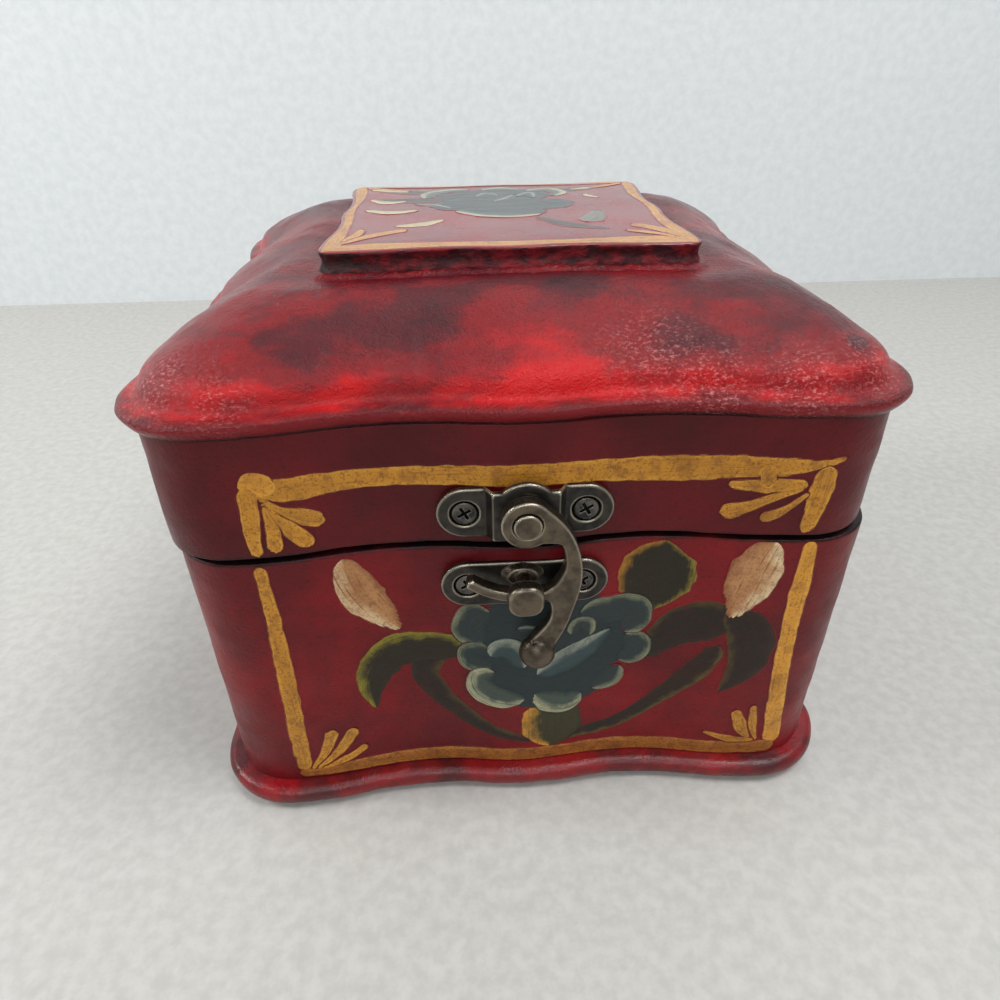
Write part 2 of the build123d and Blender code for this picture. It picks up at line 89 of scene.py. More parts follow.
HALF_X, HALF_Y = halves(base_low, base_high)
INNER_X, INNER_Y = halves(pad_low, pad_high)
LID_SHIFT = (lid_high[0] + lid_low[0]) / 2

# Shape of the serpentine outline, as in the CAD model
CORNER_RADIUS = 13.0
HOLLOW_DEPTH = 3.1
CREST_SHARE = 0.52
HOLLOW_PLACE = 0.30
INNER_CORNER = 0.6
SIDE_POINTS = 132
CORNER_POINTS = 22


# Outlines and meshes


def ease(t):
    """Two equal arcs, tangent to each other, from 0 to 1."""
    t = np.clip(t, 0.0, 1.0)
    return np.where(t < 0.5, 2 * t * t, 1 - 2 * (1 - t) ** 2)


def side_fall(place, reach, corner, hollow):
    """How far a side lies inside its box at a place along it."""
    end = reach - corner
    bend = HOLLOW_PLACE * reach
    away = np.abs(place)
    crest = CREST_SHARE * hollow
    inner = crest + (hollow - crest) * ease(away / bend)
    outer = hollow * (1 - ease((away - bend) / (end - bend)))
    return np.where(away < bend, inner, outer)


def outline(half_x, half_y, corner, hollow):
    """Closed loop of points: four serpentine sides and four quarter circles, always in the same order."""
    points = []
    turns = [(0, half_x, half_y), (1, half_y, half_x), (2, half_x, half_y), (3, half_y, half_x)]
    for quarter, reach, face in turns:
        angle = quarter * math.pi / 2
        along = np.array([math.cos(angle), math.sin(angle)])
        outward = np.array([math.sin(angle), -math.cos(angle)])
        places = np.linspace(-(reach - corner), reach - corner, SIDE_POINTS, endpoint=False)
        fall = side_fall(places, reach, corner, hollow)
        points.append(along * places[:, None] + outward * (face - fall)[:, None])
        sweep = np.linspace(0, math.pi / 2, CORNER_POINTS, endpoint=False)
        centre = along * (reach - corner) + outward * (face - corner)
        arc = outward * np.cos(sweep)[:, None] + along * np.sin(sweep)[:, None]
        points.append(centre + corner * arc)
    return np.concatenate(points)


def loop_at(loop, z, shift=0.0):
    """A flat loop of points lifted to a height and moved along X."""
    return np.column_stack([loop[:, 0] + shift, loop[:, 1], np.full(len(loop), z)])


def grid_normals(rows):
    """Outward normals of a grid of closed loops."""
    across = np.roll(rows, -1, axis=1) - np.roll(rows, 1, axis=1)
    up = np.gradient(rows, axis=0)
    normal = np.cross(across, up)
    return normal / np.maximum(np.linalg.norm(normal, axis=2, keepdims=True), 1e-9)


def fractal(points, size, octaves=3, seed=0.0):
    """Fractal noise from -1 to 1 at each point, with features of about the given size."""
    offset = Vector((seed * 17.3, seed * 5.1, seed * 9.7))
    return np.array([
        noise.fractal(Vector(point) / size + offset, 1.0, 2.0, octaves) for point in points
    ])


def make_object(name, vertices, faces, smooth=True):
    """Mesh object from points in millimetres."""
    mesh = bpy.data.meshes.new(name)
    mesh.from_pydata([tuple(v) for v in np.asarray(vertices) * MM], [], faces)
    mesh.update()
    if smooth:
        mesh.polygons.foreach_set("use_smooth", [True] * len(mesh.polygons))
    thing = bpy.data.objects.new(name, mesh)
    bpy.context.scene.collection.objects.link(thing)
    return thing


def ring_faces(row_count, column_count, closed_rows=False):
    """Quads between loops that follow each other."""
    faces = []
    last = row_count if closed_rows else row_count - 1
    for row in range(last):
        low = row * column_count
        high = ((row + 1) % row_count) * column_count
        for column in range(column_count):
            after = (column + 1) % column_count
            faces.append((low + column, low + after, high + after, high + column))
    return faces


def fan_cap(centre, first, column_count, flip):
    """Triangles from a centre vertex to a loop."""
    faces = []
    for column in range(column_count):
        pair = (first + column, first + (column + 1) % column_count)
        faces.append((centre, pair[1], pair[0]) if flip else (centre, pair[0], pair[1]))
    return faces


# Node helpers


class Shader:
    """A material with short calls for its nodes."""

    def __init__(self, name):
        self.material = bpy.data.materials.new(name)
        self.material.use_nodes = True
        self.tree = self.material.node_tree
        self.surface = self.tree.nodes["Principled BSDF"]
        self.coordinates = self.add("ShaderNodeTexCoord").outputs["Object"]

    def add(self, kind, settings=None, **inputs):
        node = self.tree.nodes.new(kind)
        for key, value in (settings or {}).items():
            setattr(node, key, value)
        for key, value in inputs.items():
            self.put(node.inputs[key.replace("_", " ")], value)
        return node

    def put(self, socket, value):
        if isinstance(value, bpy.types.NodeSocket):
            self.tree.links.new(value, socket)
        else:
            socket.default_value = value

    def set(self, **inputs):
        for key, value in inputs.items():
            self.put(self.surface.inputs[key.replace("_", " ")], value)

    def stretched(self, scale):
        """Object coordinates scaled along each axis."""
        return self.add("ShaderNodeMapping", Vector=self.coordinates, Scale=scale).outputs["Vector"]

    def noise(self, size, detail=4.0, rough=0.55, vector=None):
        """Noise value with features of a size in millimetres."""
        source = self.coordinates if vector is None else vector
        scale = 1 / (size * MM)
        node = self.add("ShaderNodeTexNoise", Vector=source, Scale=scale, Detail=detail, Roughness=rough)
        return node.outputs["Fac"]

    def cells(self, size):
        """Distance value of a cell pattern with cells of a size in millimetres."""
        node = self.add("ShaderNodeTexVoronoi", Vector=self.coordinates, Scale=1 / (size * MM))
        return node.outputs["Distance"]

    def ramp(self, value, low, high, start=0.0, stop=1.0):
        """Value remapped with clamping."""
        node = self.add("ShaderNodeMapRange", {"interpolation_type": "SMOOTHSTEP"}, Value=value)
        self.put(node.inputs["From Min"], low)
        self.put(node.inputs["From Max"], high)
        self.put(node.inputs["To Min"], start)
        self.put(node.inputs["To Max"], stop)
        return node.outputs["Result"]

    def height(self, low, high, start=0.0, stop=1.0):
        """Value that changes between two heights in millimetres."""
        return self.ramp(self.axis("Z"), low * MM, high * MM, start, stop)

    def maths(self, operation, first, second=0.0):
        node = self.add("ShaderNodeMath", {"operation": operation})
        self.put(node.inputs[0], first)
        self.put(node.inputs[1], second)
        return node.outputs[0]

    def sum(self, first, *others):
        for other in others:
            first = self.maths("ADD", first, other)
        return first

    def times(self, first, second):
        return self.maths("MULTIPLY", first, second)

    def centred(self, value):
        """A noise value moved so that it swings about zero."""
        return self.maths("SUBTRACT", value, 0.5)

    def mix(self, factor, first, second):
        """Colour mixed from two colours."""
        node = self.add("ShaderNodeMix", {"data_type": "RGBA"})
        self.put(node.inputs["Factor"], factor)
        self.put(node.inputs[6], first)
        self.put(node.inputs[7], second)
        return node.outputs[2]

    def near(self, vector, place, reach, value):
        """A value at a place that fades to nothing at a reach, both in millimetres."""
        away = self.add("ShaderNodeVectorMath", {"operation": "DISTANCE"})
        self.put(away.inputs[0], vector)
        self.put(away.inputs[1], tuple(part * MM for part in place))
        return self.ramp(away.outputs["Value"], 0.0, reach * MM, value, 0.0)

    def tint(self, colour, value, low, high, tone, share=1.0):
        """A colour that turns to a tone, given from 0 to 255, as a value rises."""
        return self.mix(self.ramp(value, low, high, 0.0, share), colour, srgb(*tone))

    def attribute(self, name):
        return self.add("ShaderNodeAttribute", {"attribute_name": name}).outputs["Fac"]

    def axis(self, which):
        """One object coordinate, in metres."""
        return self.add("ShaderNodeSeparateXYZ", Vector=self.coordinates).outputs[which]

    def bump(self, height, strength, distance, normal=None):
        node = self.add("ShaderNodeBump", Height=height, Strength=strength, Distance=distance * MM)
        if normal is not None:
            self.put(node.inputs["Normal"], normal)
        return node.outputs["Normal"]


def srgb(red, green, blue):
    """Linear colour from 0 to 255 display values."""
    def linear(value):
        share = value / 255
        return share / 12.92 if share <= 0.04045 else ((share + 0.055) / 1.055) ** 2.4

    return (linear(red), linear(green), linear(blue), 1.0)


# Materials
SEAM_Z = (base_high[2] + lid_low[2]) / 2
WALL_SPECULAR = 0.22
PANEL_SPECULAR = 0.5
PANEL_COAT = 0.4


def lacquer_relief(shader, strength):
    """Fine leathery wrinkles with grain and pinholes, under the gloss."""
    wrinkle = shader.noise(0.9, detail=4.0, rough=0.65)
    grain = shader.times(shader.noise(0.34, detail=2.0), 0.5)
    pores = shader.times(shader.ramp(shader.cells(0.7), 0.0, 0.35), 0.25)
    return shader.bump(shader.sum(wrinkle, grain, pores), strength, 0.3)


def wall_colour(shader):
    """Dark red lacquer, darker on the lid, clouded, near black in the pores, and near black along the seam
    as painted shade of the gap between lid and base.
    """
    on_lid = shader.height(SEAM_Z - 0.4, SEAM_Z + 0.4)
    deep = shader.mix(on_lid, srgb(92, 15, 21), srgb(74, 12, 18))
    clear = shader.mix(on_lid, srgb(126, 18, 24), srgb(98, 15, 21))
    cloud = shader.noise(26.0, detail=5.0, rough=0.58)
    colour = shader.mix(shader.ramp(cloud, 0.34, 0.66), deep, clear)
    smear = shader.noise(7.0, detail=6.0, rough=0.7, vector=shader.stretched((1.0, 1.0, 0.35)))
    colour = shader.tint(colour, smear, 0.54, 0.80, (48, 16, 20), 0.5)
    speck = shader.ramp(shader.noise(0.7, detail=2.0), 0.57, 0.72, 0.0, 0.45)
    colour = shader.mix(speck, colour, srgb(44, 16, 20))
    # Painted shade: the walls turn near black beside the gap between lid and base.
    from_seam = shader.maths("ABSOLUTE", shader.maths("SUBTRACT", shader.axis("Z"), SEAM_Z * MM))
    seam_shade_reach = shader.sum(from_seam, shader.times(shader.noise(6.0), 1.2 * MM))
    return shader.mix(shader.ramp(seam_shade_reach, 1.1 * MM, 1.9 * MM, 0.95, 0.0), colour, srgb(14, 8, 9))


def wall_gloss(shader):
    return shader.ramp(shader.noise(6.0, detail=5.0), 0.3, 0.75, 0.30, 0.46)


def wall_lacquer():
    shader = Shader("wall_lacquer")
    shader.set(Base_Color=wall_colour(shader), Roughness=wall_gloss(shader))
    shader.set(Normal=lacquer_relief(shader, 0.35), Specular_IOR_Level=WALL_SPECULAR)
    return shader.material


def plinth_lacquer():
    """Brighter red on the bead, rubbed dark in places."""
    shader = Shader("plinth_lacquer")
    cloud = shader.noise(15.0, detail=6.0, rough=0.62)
    colour = shader.mix(shader.ramp(cloud, 0.36, 0.6), srgb(72, 15, 21), srgb(136, 16, 22))
    rubbed = shader.noise(5.0, detail=6.0, rough=0.7, vector=shader.stretched((0.5, 0.5, 1.0)))
    colour = shader.tint(colour, rubbed, 0.52, 0.72, (54, 16, 20), 0.7)
    shader.set(Base_Color=colour, Roughness=shader.ramp(rubbed, 0.3, 0.7, 0.24, 0.42))
    shader.set(Normal=lacquer_relief(shader, 0.4), Specular_IOR_Level=0.45)
    return shader.material


# Rubbed and bright places on the pillow: place, reach and change of tone
DOME_PATCHES = (
    ((-2, -60, 92.0), 7, 0.22), ((10, -60, 91.2), 7, 0.22), ((22, -60, 91.0), 6, 0.18),
    ((-12, -60, 92.0), 6, 0.16), ((-30, -59, 91.8), 6, 0.10), ((5, -54, 96), 9, 0.16),
    ((-8, -48, 99), 6, 0.08), ((-46, -41, 101.5), 7, 0.13), ((-36, -44, 101), 6, 0.10),
    ((-46, -54, 97), 8, 0.12), ((-26, -42, 102), 6, 0.08), ((33, -51, 98), 6, 0.10),
    ((16, -48, 99), 7, 0.08), ((-3, -43, 101.6), 4, 0.12), ((44, -55, 96), 6, 0.06),
    ((-56, -50, 96), 6, 0.10), ((-20, -50, 98), 10, -0.16), ((-14, -44, 101), 10, -0.12),
    ((-36, -52, 98), 7, -0.16), ((-28, -47, 100), 8, -0.12), ((-42, -50, 99), 5, -0.14),
    ((8, -37, 102.6), 7, -0.22), ((-4, -36, 103), 7, -0.10), ((26, -42, 102), 9, -0.06),
    ((26, -51, 97.5), 7, -0.12), ((53.6, -53, 95.8), 3.2, -0.40), ((40, -56, 94), 4, -0.08),
)
DOME_PATCH_SPREAD = 1.25

# Painted glints on the pillow, pale flecks that stand in for reflections on its wrinkled lacquer: place,
# reach and strength
DOME_PAINTED_GLINTS = (
    ((-58, -54, 92.5), 10, 0.95), ((-48, -58, 91.6), 9, 0.5), ((20, -54, 96), 14, 0.5),
    ((28, -58, 92.6), 11, 0.65), ((42, -59, 92.4), 10, 0.7), ((55, -56, 93.4), 10, 0.7),
    ((61, -50, 95), 8, 0.6), ((-19.6, -59, 94.6), 2.6, 0.9),
)


def bent_place(shader):
    """Coordinates pushed about by noise, so that a round patch has a torn outline."""
    bend = shader.add(
        "ShaderNodeTexNoise", Vector=shader.coordinates, Scale=1 / (7.0 * MM), Detail=4.0, Roughness=0.6
    )
    shift = shader.add("ShaderNodeVectorMath", {"operation": "MULTIPLY_ADD"}, Vector=bend.outputs["Color"])
    shader.put(shift.inputs[1], (14.0 * MM, 8.0 * MM, 8.0 * MM))
    shader.put(shift.inputs[2], (-7.0 * MM, -4.0 * MM, -4.0 * MM))
    bent = shader.add("ShaderNodeVectorMath", {"operation": "ADD"})
    shader.put(bent.inputs[0], shader.coordinates)
    shader.put(bent.inputs[1], shift.outputs["Vector"])
    return bent.outputs["Vector"]


def dome_tone(shader, brushed):
    """From rubbed dark to bright red: clouds, a bright groove, the patches and the brush."""
    tone = shader.noise(13.0, detail=7.0, rough=0.66, vector=shader.stretched((0.6, 0.9, 1.1)))
    tone = shader.sum(tone, shader.height(95.0, 103.5, 0.0, -0.08))
    groove = shader.height(93.5, 96.5, 0.20, 0.0)
    tone = shader.sum(tone, shader.times(groove, shader.ramp(tone, 0.30, 0.50, 0.6, 1.0)))
    bent = bent_place(shader)
    for place, reach, change in DOME_PATCHES:
        tone = shader.sum(tone, shader.near(bent, place, DOME_PATCH_SPREAD * reach, change))
    return shader.sum(tone, shader.times(shader.centred(brushed), 0.22))


def dome_lip(shader, colour, brushed):
    """Plain red below the groove, with painted shade as a dark line where the lip meets the groove and as a
    brown band on the underside of the rim.
    """
    wavy = shader.sum(shader.axis("Z"), shader.times(brushed, 1.0 * MM))
    colour = shader.mix(shader.ramp(wavy, 90.0 * MM, 90.8 * MM), srgb(124, 19, 26), colour)
    # Painted shade: a dark line where the lip meets the groove above it.
    above, below = shader.ramp(wavy, 89.9 * MM, 90.4 * MM), shader.ramp(wavy, 90.6 * MM, 91.3 * MM)
    groove_shade = shader.maths("SUBTRACT", above, below)
    colour = shader.mix(shader.times(groove_shade, 0.6), colour, srgb(40, 12, 16))
    # Painted shade: a dark brown band on the underside of the rolled rim.
    return shader.mix(shader.height(87.4, 88.2), srgb(48, 18, 20), colour)


def dome_lacquer():
    """Brighter red on the pillow, rubbed back in patches to burgundy and near black, with pale flecks of
    painted glint in places.
    """
    shader = Shader("dome_lacquer")
    brushed = shader.noise(2.2, detail=6.0, rough=0.75, vector=shader.stretched((0.25, 1.0, 1.0)))
    tone = dome_tone(shader, brushed)
    colour = shader.mix(shader.ramp(tone, 0.16, 0.34), srgb(54, 16, 21), srgb(84, 16, 24))
    colour = shader.tint(colour, tone, 0.34, 0.54, (126, 15, 21))
    colour = shader.tint(colour, tone, 0.58, 0.88, (192, 13, 17))
    speck = shader.ramp(shader.noise(0.5, detail=3.0), 0.52, 0.66, 0.0, 0.55)
    speck = shader.times(speck, shader.ramp(tone, 0.45, 0.70, 1.0, 0.15))
    colour = dome_lip(shader, shader.mix(speck, colour, srgb(56, 20, 25)), brushed)
    # Painted glints: pale flecks where reflections would catch the wrinkled lacquer.
    glint_flecks = shader.noise(0.5, detail=4.0, rough=0.7, vector=shader.stretched((0.7, 1.0, 1.0)))
    glint_share = 0.0
    for place, reach, strength in DOME_PAINTED_GLINTS:
        glint_share = shader.maths("MAXIMUM", glint_share, shader.near(shader.coordinates, place, reach, strength))
    pale = shader.times(shader.ramp(glint_flecks, 0.50, 0.68), glint_share)
    gloss = shader.ramp(shader.noise(7.0, detail=5.0), 0.3, 0.75, 0.15, 0.30)
    shader.set(Base_Color=shader.mix(pale, colour, srgb(222, 140, 138)), Roughness=gloss)
    shader.set(Normal=lacquer_relief(shader, 1.0), Specular_IOR_Level=0.24)
    return shader.material


def panel_colour(shader):
    """Clear red field on top of the panel."""
    cloud = shader.noise(18.0, detail=5.0)
    return shader.mix(shader.ramp(cloud, 0.35, 0.7), srgb(112, 20, 27), srgb(134, 22, 29))


def panel_gloss(shader):
    return shader.ramp(shader.noise(9.0, detail=4.0), 0.3, 0.75, 0.2, 0.32)


def panel_edge_lacquer():
    """Dark, crumpled skin folded over the panel's edge, with painted shade darkening the valleys of its
    creases, near black at its left corners.
    """
    shader = Shader("panel_edge_lacquer")
    creases = shader.noise(2.0, detail=6.0, rough=0.7, vector=shader.stretched((0.5, 1.0, 1.0)))
    # Painted shade: the crease pattern that makes the bump also darkens its valleys.
    colour = shader.mix(shader.ramp(creases, 0.40, 0.64), srgb(54, 16, 22), srgb(126, 26, 34))
    corner = shader.ramp(shader.axis("X"), -33.0 * MM, -24.0 * MM, 0.7, 0.0)
    shader.set(Base_Color=shader.mix(corner, colour, srgb(18, 28, 25)))
    shader.set(Roughness=0.5, Specular_IOR_Level=0.25)
    shader.set(Normal=shader.bump(creases, 0.9, 0.5, normal=lacquer_relief(shader, 0.6)))
    return shader.material


def panel_lacquer():
    shader = Shader("panel_lacquer")
    shader.set(Base_Color=panel_colour(shader), Roughness=panel_gloss(shader))
    shader.set(Normal=lacquer_relief(shader, 0.22), Specular_IOR_Level=PANEL_SPECULAR)
    shader.set(Coat_Weight=PANEL_COAT, Coat_Roughness=0.15)
    return shader.material


GROUNDS = {
    "wall": (wall_colour, wall_gloss, WALL_SPECULAR, 0.0),
    "panel": (panel_colour, panel_gloss, PANEL_SPECULAR, PANEL_COAT),
}


def paint_streaks(shader):
    """Noise drawn out along a stroke, different on every stroke."""
    space = shader.add("ShaderNodeCombineXYZ")
    shader.put(space.inputs["X"], shader.times(shader.attribute("along"), 0.10))
    shader.put(space.inputs["Y"], shader.times(shader.attribute("across"), 2.4))
    shader.put(space.inputs["Z"], shader.attribute("order"))
    return shader.noise(1 / MM, detail=5.0, rough=0.7, vector=space.outputs["Vector"])


def paint_colour(shader, paint, streak, grain):
    """A paint's middle colour with its paler rims, thinner where the brush ran dry and in clouds."""
    look = PAINTS[paint]
    side, margin = shader.attribute("side"), shader.attribute("margin")
    patch = shader.noise(3.2, detail=3.0)
    colour = srgb(*look.middle)
    rims = ((look.near, look.near_rim, 0.1, -0.35), (look.far, look.far_rim, -0.1, 0.35))
    for tint, rim, start, stop in rims:
        wander = shader.times(shader.centred(streak), 2.6 * rim)
        wander = shader.sum(wander, shader.ramp(patch, 0.35, 0.65, 0.3 * rim, -0.3 * rim))
        inside = shader.sum(margin, wander)
        share = shader.times(shader.ramp(inside, 1.4 * rim, 0.0), shader.ramp(side, start, stop))
        share = shader.times(share, shader.ramp(streak, 0.36, 0.56, 0.45, 1.0))
        colour = shader.mix(share, colour, srgb(*tint))
    colour = shader.tint(colour, streak, 0.54, 0.68, look.thin, look.dry)
    colour = shader.tint(colour, grain, 0.5, 0.64, look.thin, look.speck)
    for size, first, last in ((9.0, 0.46, 0.72), (2.3, 0.50, 0.66)):
        cloud = shader.noise(size, detail=4.0)
        colour = shader.tint(colour, cloud, first, last, look.thin, 0.55 * look.speck)
    return colour


def paint_cover(shader, paint, streak, grain):
    """Where the paint covers: ragged at its margin, the more so at the tail of the stroke."""
    lift_off = shader.maths("POWER", shader.attribute("share"), 3.0)
    ragged = shader.sum(0.5, shader.times(lift_off, PAINTS[paint].tail))
    wander = shader.times(shader.centred(streak), ragged)
    crumbs = shader.times(shader.centred(grain), 0.5)
    covered = shader.sum(shader.attribute("margin"), wander, crumbs)
    return shader.ramp(covered, -0.04, 0.22)


def brush_paint(paint, ground):
    """Brushed paint that thins out to what lies under it: the ground or an earlier stroke."""
    ground_colour, ground_gloss, specular, coat = GROUNDS[ground]
    shader = Shader(f"{paint}_paint_on_{ground}")
    streak = paint_streaks(shader)
    grain = shader.noise(0.5, detail=4.0, rough=0.75)
    covered = paint_cover(shader, paint, streak, grain)
    below = shader.add("ShaderNodeAttribute", {"attribute_name": "below"})
    under = shader.mix(below.outputs["Alpha"], ground_colour(shader), below.outputs["Color"])
    shader.set(Base_Color=shader.mix(covered, under, paint_colour(shader, paint, streak, grain)))
    gloss = shader.add("ShaderNodeMix")
    shader.put(gloss.inputs["Factor"], covered)
    shader.put(gloss.inputs[2], ground_gloss(shader))
    shader.put(gloss.inputs[3], shader.ramp(streak, 0.3, 0.7, 0.26, 0.42))
    shader.set(Roughness=gloss.outputs[0], Specular_IOR_Level=specular)
    shader.set(Coat_Weight=coat, Coat_Roughness=0.15)
    shader.set(Normal=shader.bump(streak, 0.25, 0.1, normal=lacquer_relief(shader, 0.3)))
    return shader.material


def velvet(name, colour, shade):
    """Short pile, paler where it catches the light."""
    shader = Shader(name)
    crush = shader.noise(9.0, detail=5.0, rough=0.6)
    pile = shader.noise(0.35, detail=2.0)
    base = shader.mix(shader.ramp(crush, 0.35, 0.7), shade, colour)
    base = shader.mix(shader.ramp(pile, 0.4, 0.7, 0.0, 0.35), base, shade)
    shader.set(Base_Color=base, Roughness=0.9, Sheen_Weight=0.8, Sheen_Roughness=0.35, Sheen_Tint=colour)
    shader.set(Normal=shader.bump(pile, 0.5, 0.25))
    return shader.material


def worn_bronze(name, dark, middle, bright, wear, slot_from=None):
    """Antique bronze: dark in the hollows, darkened on top faces as painted shade, bright on the edges from
    rubbing and from painted highlight, black in a screw's slot.

    A cast copy brings its own wear; on the other pieces a bevel finds the edges.
    """
    shader = Shader(name)
    dark, middle, bright = (srgb(*tone) for tone in (dark, middle, bright))
    bevel = shader.add("ShaderNodeBevel", {"samples": 6}, Radius=0.35 * MM).outputs["Normal"]
    true_normal = shader.add("ShaderNodeNewGeometry").outputs["Normal"]
    dot = shader.add("ShaderNodeVectorMath", {"operation": "DOT_PRODUCT"})
    shader.put(dot.inputs[0], bevel)
    shader.put(dot.inputs[1], true_normal)
    edge = shader.ramp(dot.outputs["Value"], 0.999, 0.93)
    edge = shader.maths("MAXIMUM", edge, shader.ramp(shader.attribute("wear"), 0.15, 0.75))
    patch = shader.noise(2.6, detail=4.0, rough=0.55)
    grain = shader.noise(0.28, detail=3.0, rough=0.7)
    colour = shader.mix(shader.ramp(patch, 0.34, 0.62), dark, middle)
    colour = shader.mix(shader.ramp(grain, 0.56, 0.72, 0.0, 0.5), colour, dark)
    hollow = shader.ramp(shader.attribute("wear"), -0.55, -0.15, 0.9, 0.0)
    colour = shader.mix(hollow, colour, srgb(14, 12, 11))
    # Painted shade: faces that look up are darkened, less so where the grain is high.
    painted_top_shade = shader.times(shader.attribute("up"), shader.ramp(grain, 0.38, 0.55, 1.0, 0.25))
    colour = shader.mix(painted_top_shade, colour, srgb(24, 21, 19))
    # Edges rubbed bright: real wear, and painted highlight too.
    rubbed = shader.times(edge, shader.ramp(grain, 0.30, 0.55, 0.55, wear))
    colour = shader.mix(rubbed, colour, bright)
    if slot_from is not None:
        sunk = shader.ramp(shader.axis("Y"), slot_from * MM, (slot_from + 0.12) * MM)
        colour = shader.mix(sunk, colour, srgb(5, 5, 5))
    shader.set(Base_Color=colour, Metallic=0.85, Roughness=shader.ramp(rubbed, 0.0, 1.0, 0.30, 0.20))
    shader.set(Normal=shader.bump(grain, 0.5, 0.08, normal=bevel))
    return shader.material


# Depth at which the screws' cross slots turn black, along Y
SCREW_SLOT = node_span("catch_screws")[0][1] + 0.15
MATERIALS = {
    "walls": wall_lacquer(),
    "plinth": plinth_lacquer(),
    "dome": dome_lacquer(),
    "panel": panel_lacquer(),
    "panel_edge": panel_edge_lacquer(),
    "lining": velvet("velvet_lining", srgb(96, 12, 24), srgb(52, 6, 14)),
    "felt": velvet("felt_sheet", srgb(62, 58, 56), srgb(34, 32, 31)),
    "bronze": worn_bronze("antique_bronze", (74, 66, 57), (104, 93, 78), (240, 228, 206), 1.0),
    "plate": worn_bronze("dark_plate_bronze", (44, 42, 40), (66, 62, 58), (222, 211, 190), 1.0),
    "screw": worn_bronze("dark_bronze", (46, 45, 44), (98, 95, 90), (150, 146, 138), 0.8, SCREW_SLOT),
    "brass": worn_bronze("dull_brass", (88, 66, 34), (138, 108, 60), (206, 176, 116), 0.9),
}

# Paints: colours of the near rim, middle, far rim and thin places, then dryness, speckle, raggedness of the
# tail, and widths of the two rims
Paint = namedtuple("Paint", "near middle far thin dry speck tail near_rim far_rim")
PAINT_VALUES = {
    # In the gold paints, the paler near and far rims are painted highlight.
    "gold": ((214, 154, 60), (192, 132, 44), (212, 152, 58), (120, 74, 36), 0.65, 0.8, 1.4, 0.7, 0.7),
    "gold_bright": ((228, 166, 70), (212, 148, 54), (230, 168, 70), (134, 82, 38), 0.6, 0.7, 1.4, 0.8, 0.8),
    "gold_dim": ((178, 118, 54), (160, 100, 44), (184, 124, 56), (104, 58, 34), 0.7, 0.85, 1.2, 1.0, 1.0),
    "leaf": ((52, 42, 28), (42, 36, 26), (142, 132, 44), (54, 30, 22), 0.5, 0.2, 1.0, 0.8, 2.0),
    "leaf_dark": ((54, 40, 28), (38, 32, 26), (80, 66, 36), (66, 26, 24), 0.7, 0.35, 2.4, 1.2, 1.4),
    "stem": ((96, 84, 40), (40, 33, 26), (50, 40, 28), (66, 28, 24), 0.7, 0.35, 2.4, 1.1, 0.9),
    "leaf_rim": ((146, 128, 50), (40, 36, 26), (176, 122, 42), (54, 38, 26), 0.5, 0.25, 0.6, 1.5, 1.9),
    "calyx": ((50, 44, 30), (58, 56, 34), (208, 148, 54), (46, 38, 28), 0.45, 0.2, 0.6, 1.0, 3.0),
    "teal": ((40, 49, 49), (40, 51, 52), (42, 53, 54), (36, 41, 40), 0.6, 0.25, 0.5, 0.8, 0.8),
    "petal": ((40, 49, 49), (43, 54, 54), (134, 136, 108), (56, 62, 56), 0.6, 0.25, 1.0, 0.8, 1.3),
    "petal_light": ((44, 54, 54), (68, 80, 72), (184, 182, 146), (60, 70, 60), 0.8, 0.25, 1.4, 1.0, 2.4),
    "sweep": ((42, 54, 55), (56, 72, 74), (154, 160, 142), (46, 57, 58), 0.75, 0.25, 1.0, 0.8, 2.4),
    "bud": ((150, 96, 62), (186, 136, 90), (230, 204, 162), (112, 58, 38), 0.9, 0.5, 3.6, 1.6, 3.2),
    "bud_left": ((224, 196, 152), (180, 130, 84), (146, 94, 60), (108, 58, 38), 0.9, 0.5, 3.6, 2.8, 1.4),
    "cream": ((150, 150, 110), (176, 168, 122), (222, 206, 158), (104, 84, 62), 0.6, 0.2, 1.6, 0.6, 1.0),
    "mist": ((96, 100, 90), (104, 106, 96), (120, 118, 106), (110, 60, 60), 0.8, 0.3, 2.4, 1.0, 1.0),
}
PAINTS = {name: Paint(*values) for name, values in PAINT_VALUES.items()}
paint_materials = {}


def paint_material(paint, ground):
    """The material of a paint on a ground, made once."""
    if (paint, ground) not in paint_materials:
        paint_materials[paint, ground] = brush_paint(paint, ground)
    return paint_materials[paint, ground]


# Skins of the woodwork
WALL_RELIEF = ((0.15, 9.0), (0.035, 2.6))
WALL_INSET = 0.24
EDGE_RADIUS = 0.45


def crumple(rows, layers, seed, push=0.0):
    """Loops pushed along their normals by a given push and by layers of noise: amount and size of each."""
    normals = grid_normals(rows)
    flat = rows.reshape(-1, 3)
    for index, (amount, size) in enumerate(layers):
        push = push + amount * fractal(flat, size, 2, seed + index)
    return rows + normals * push.reshape(rows.shape[0], rows.shape[1], 1)


def held_level(rows, low, high):
    """The same loops, kept between two heights."""
    rows[:, :, 2] = np.clip(rows[:, :, 2], low, high)
    return rows


def dress(shell, finishes, body, *nodes):
    """Finishes of a wooden skin, the body it rides on and the nodes it stands for."""
    for finish in finishes:
        shell.data.materials.append(MATERIALS[finish])
    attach(shell, body)
    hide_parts(*nodes)
    return shell


def capped_object(name, rows, first_centre, last_centre):
    """Closed object from loops, with a fan of triangles over the first and the last."""
    count = rows.shape[1]
    vertices = np.concatenate([rows.reshape(-1, 3), [first_centre, last_centre]])
    faces = ring_faces(len(rows), count)
    faces += fan_cap(len(vertices) - 2, 0, count, True)
    faces += fan_cap(len(vertices) - 1, (len(rows) - 1) * count, count, False)
    return make_object(name, vertices, faces)


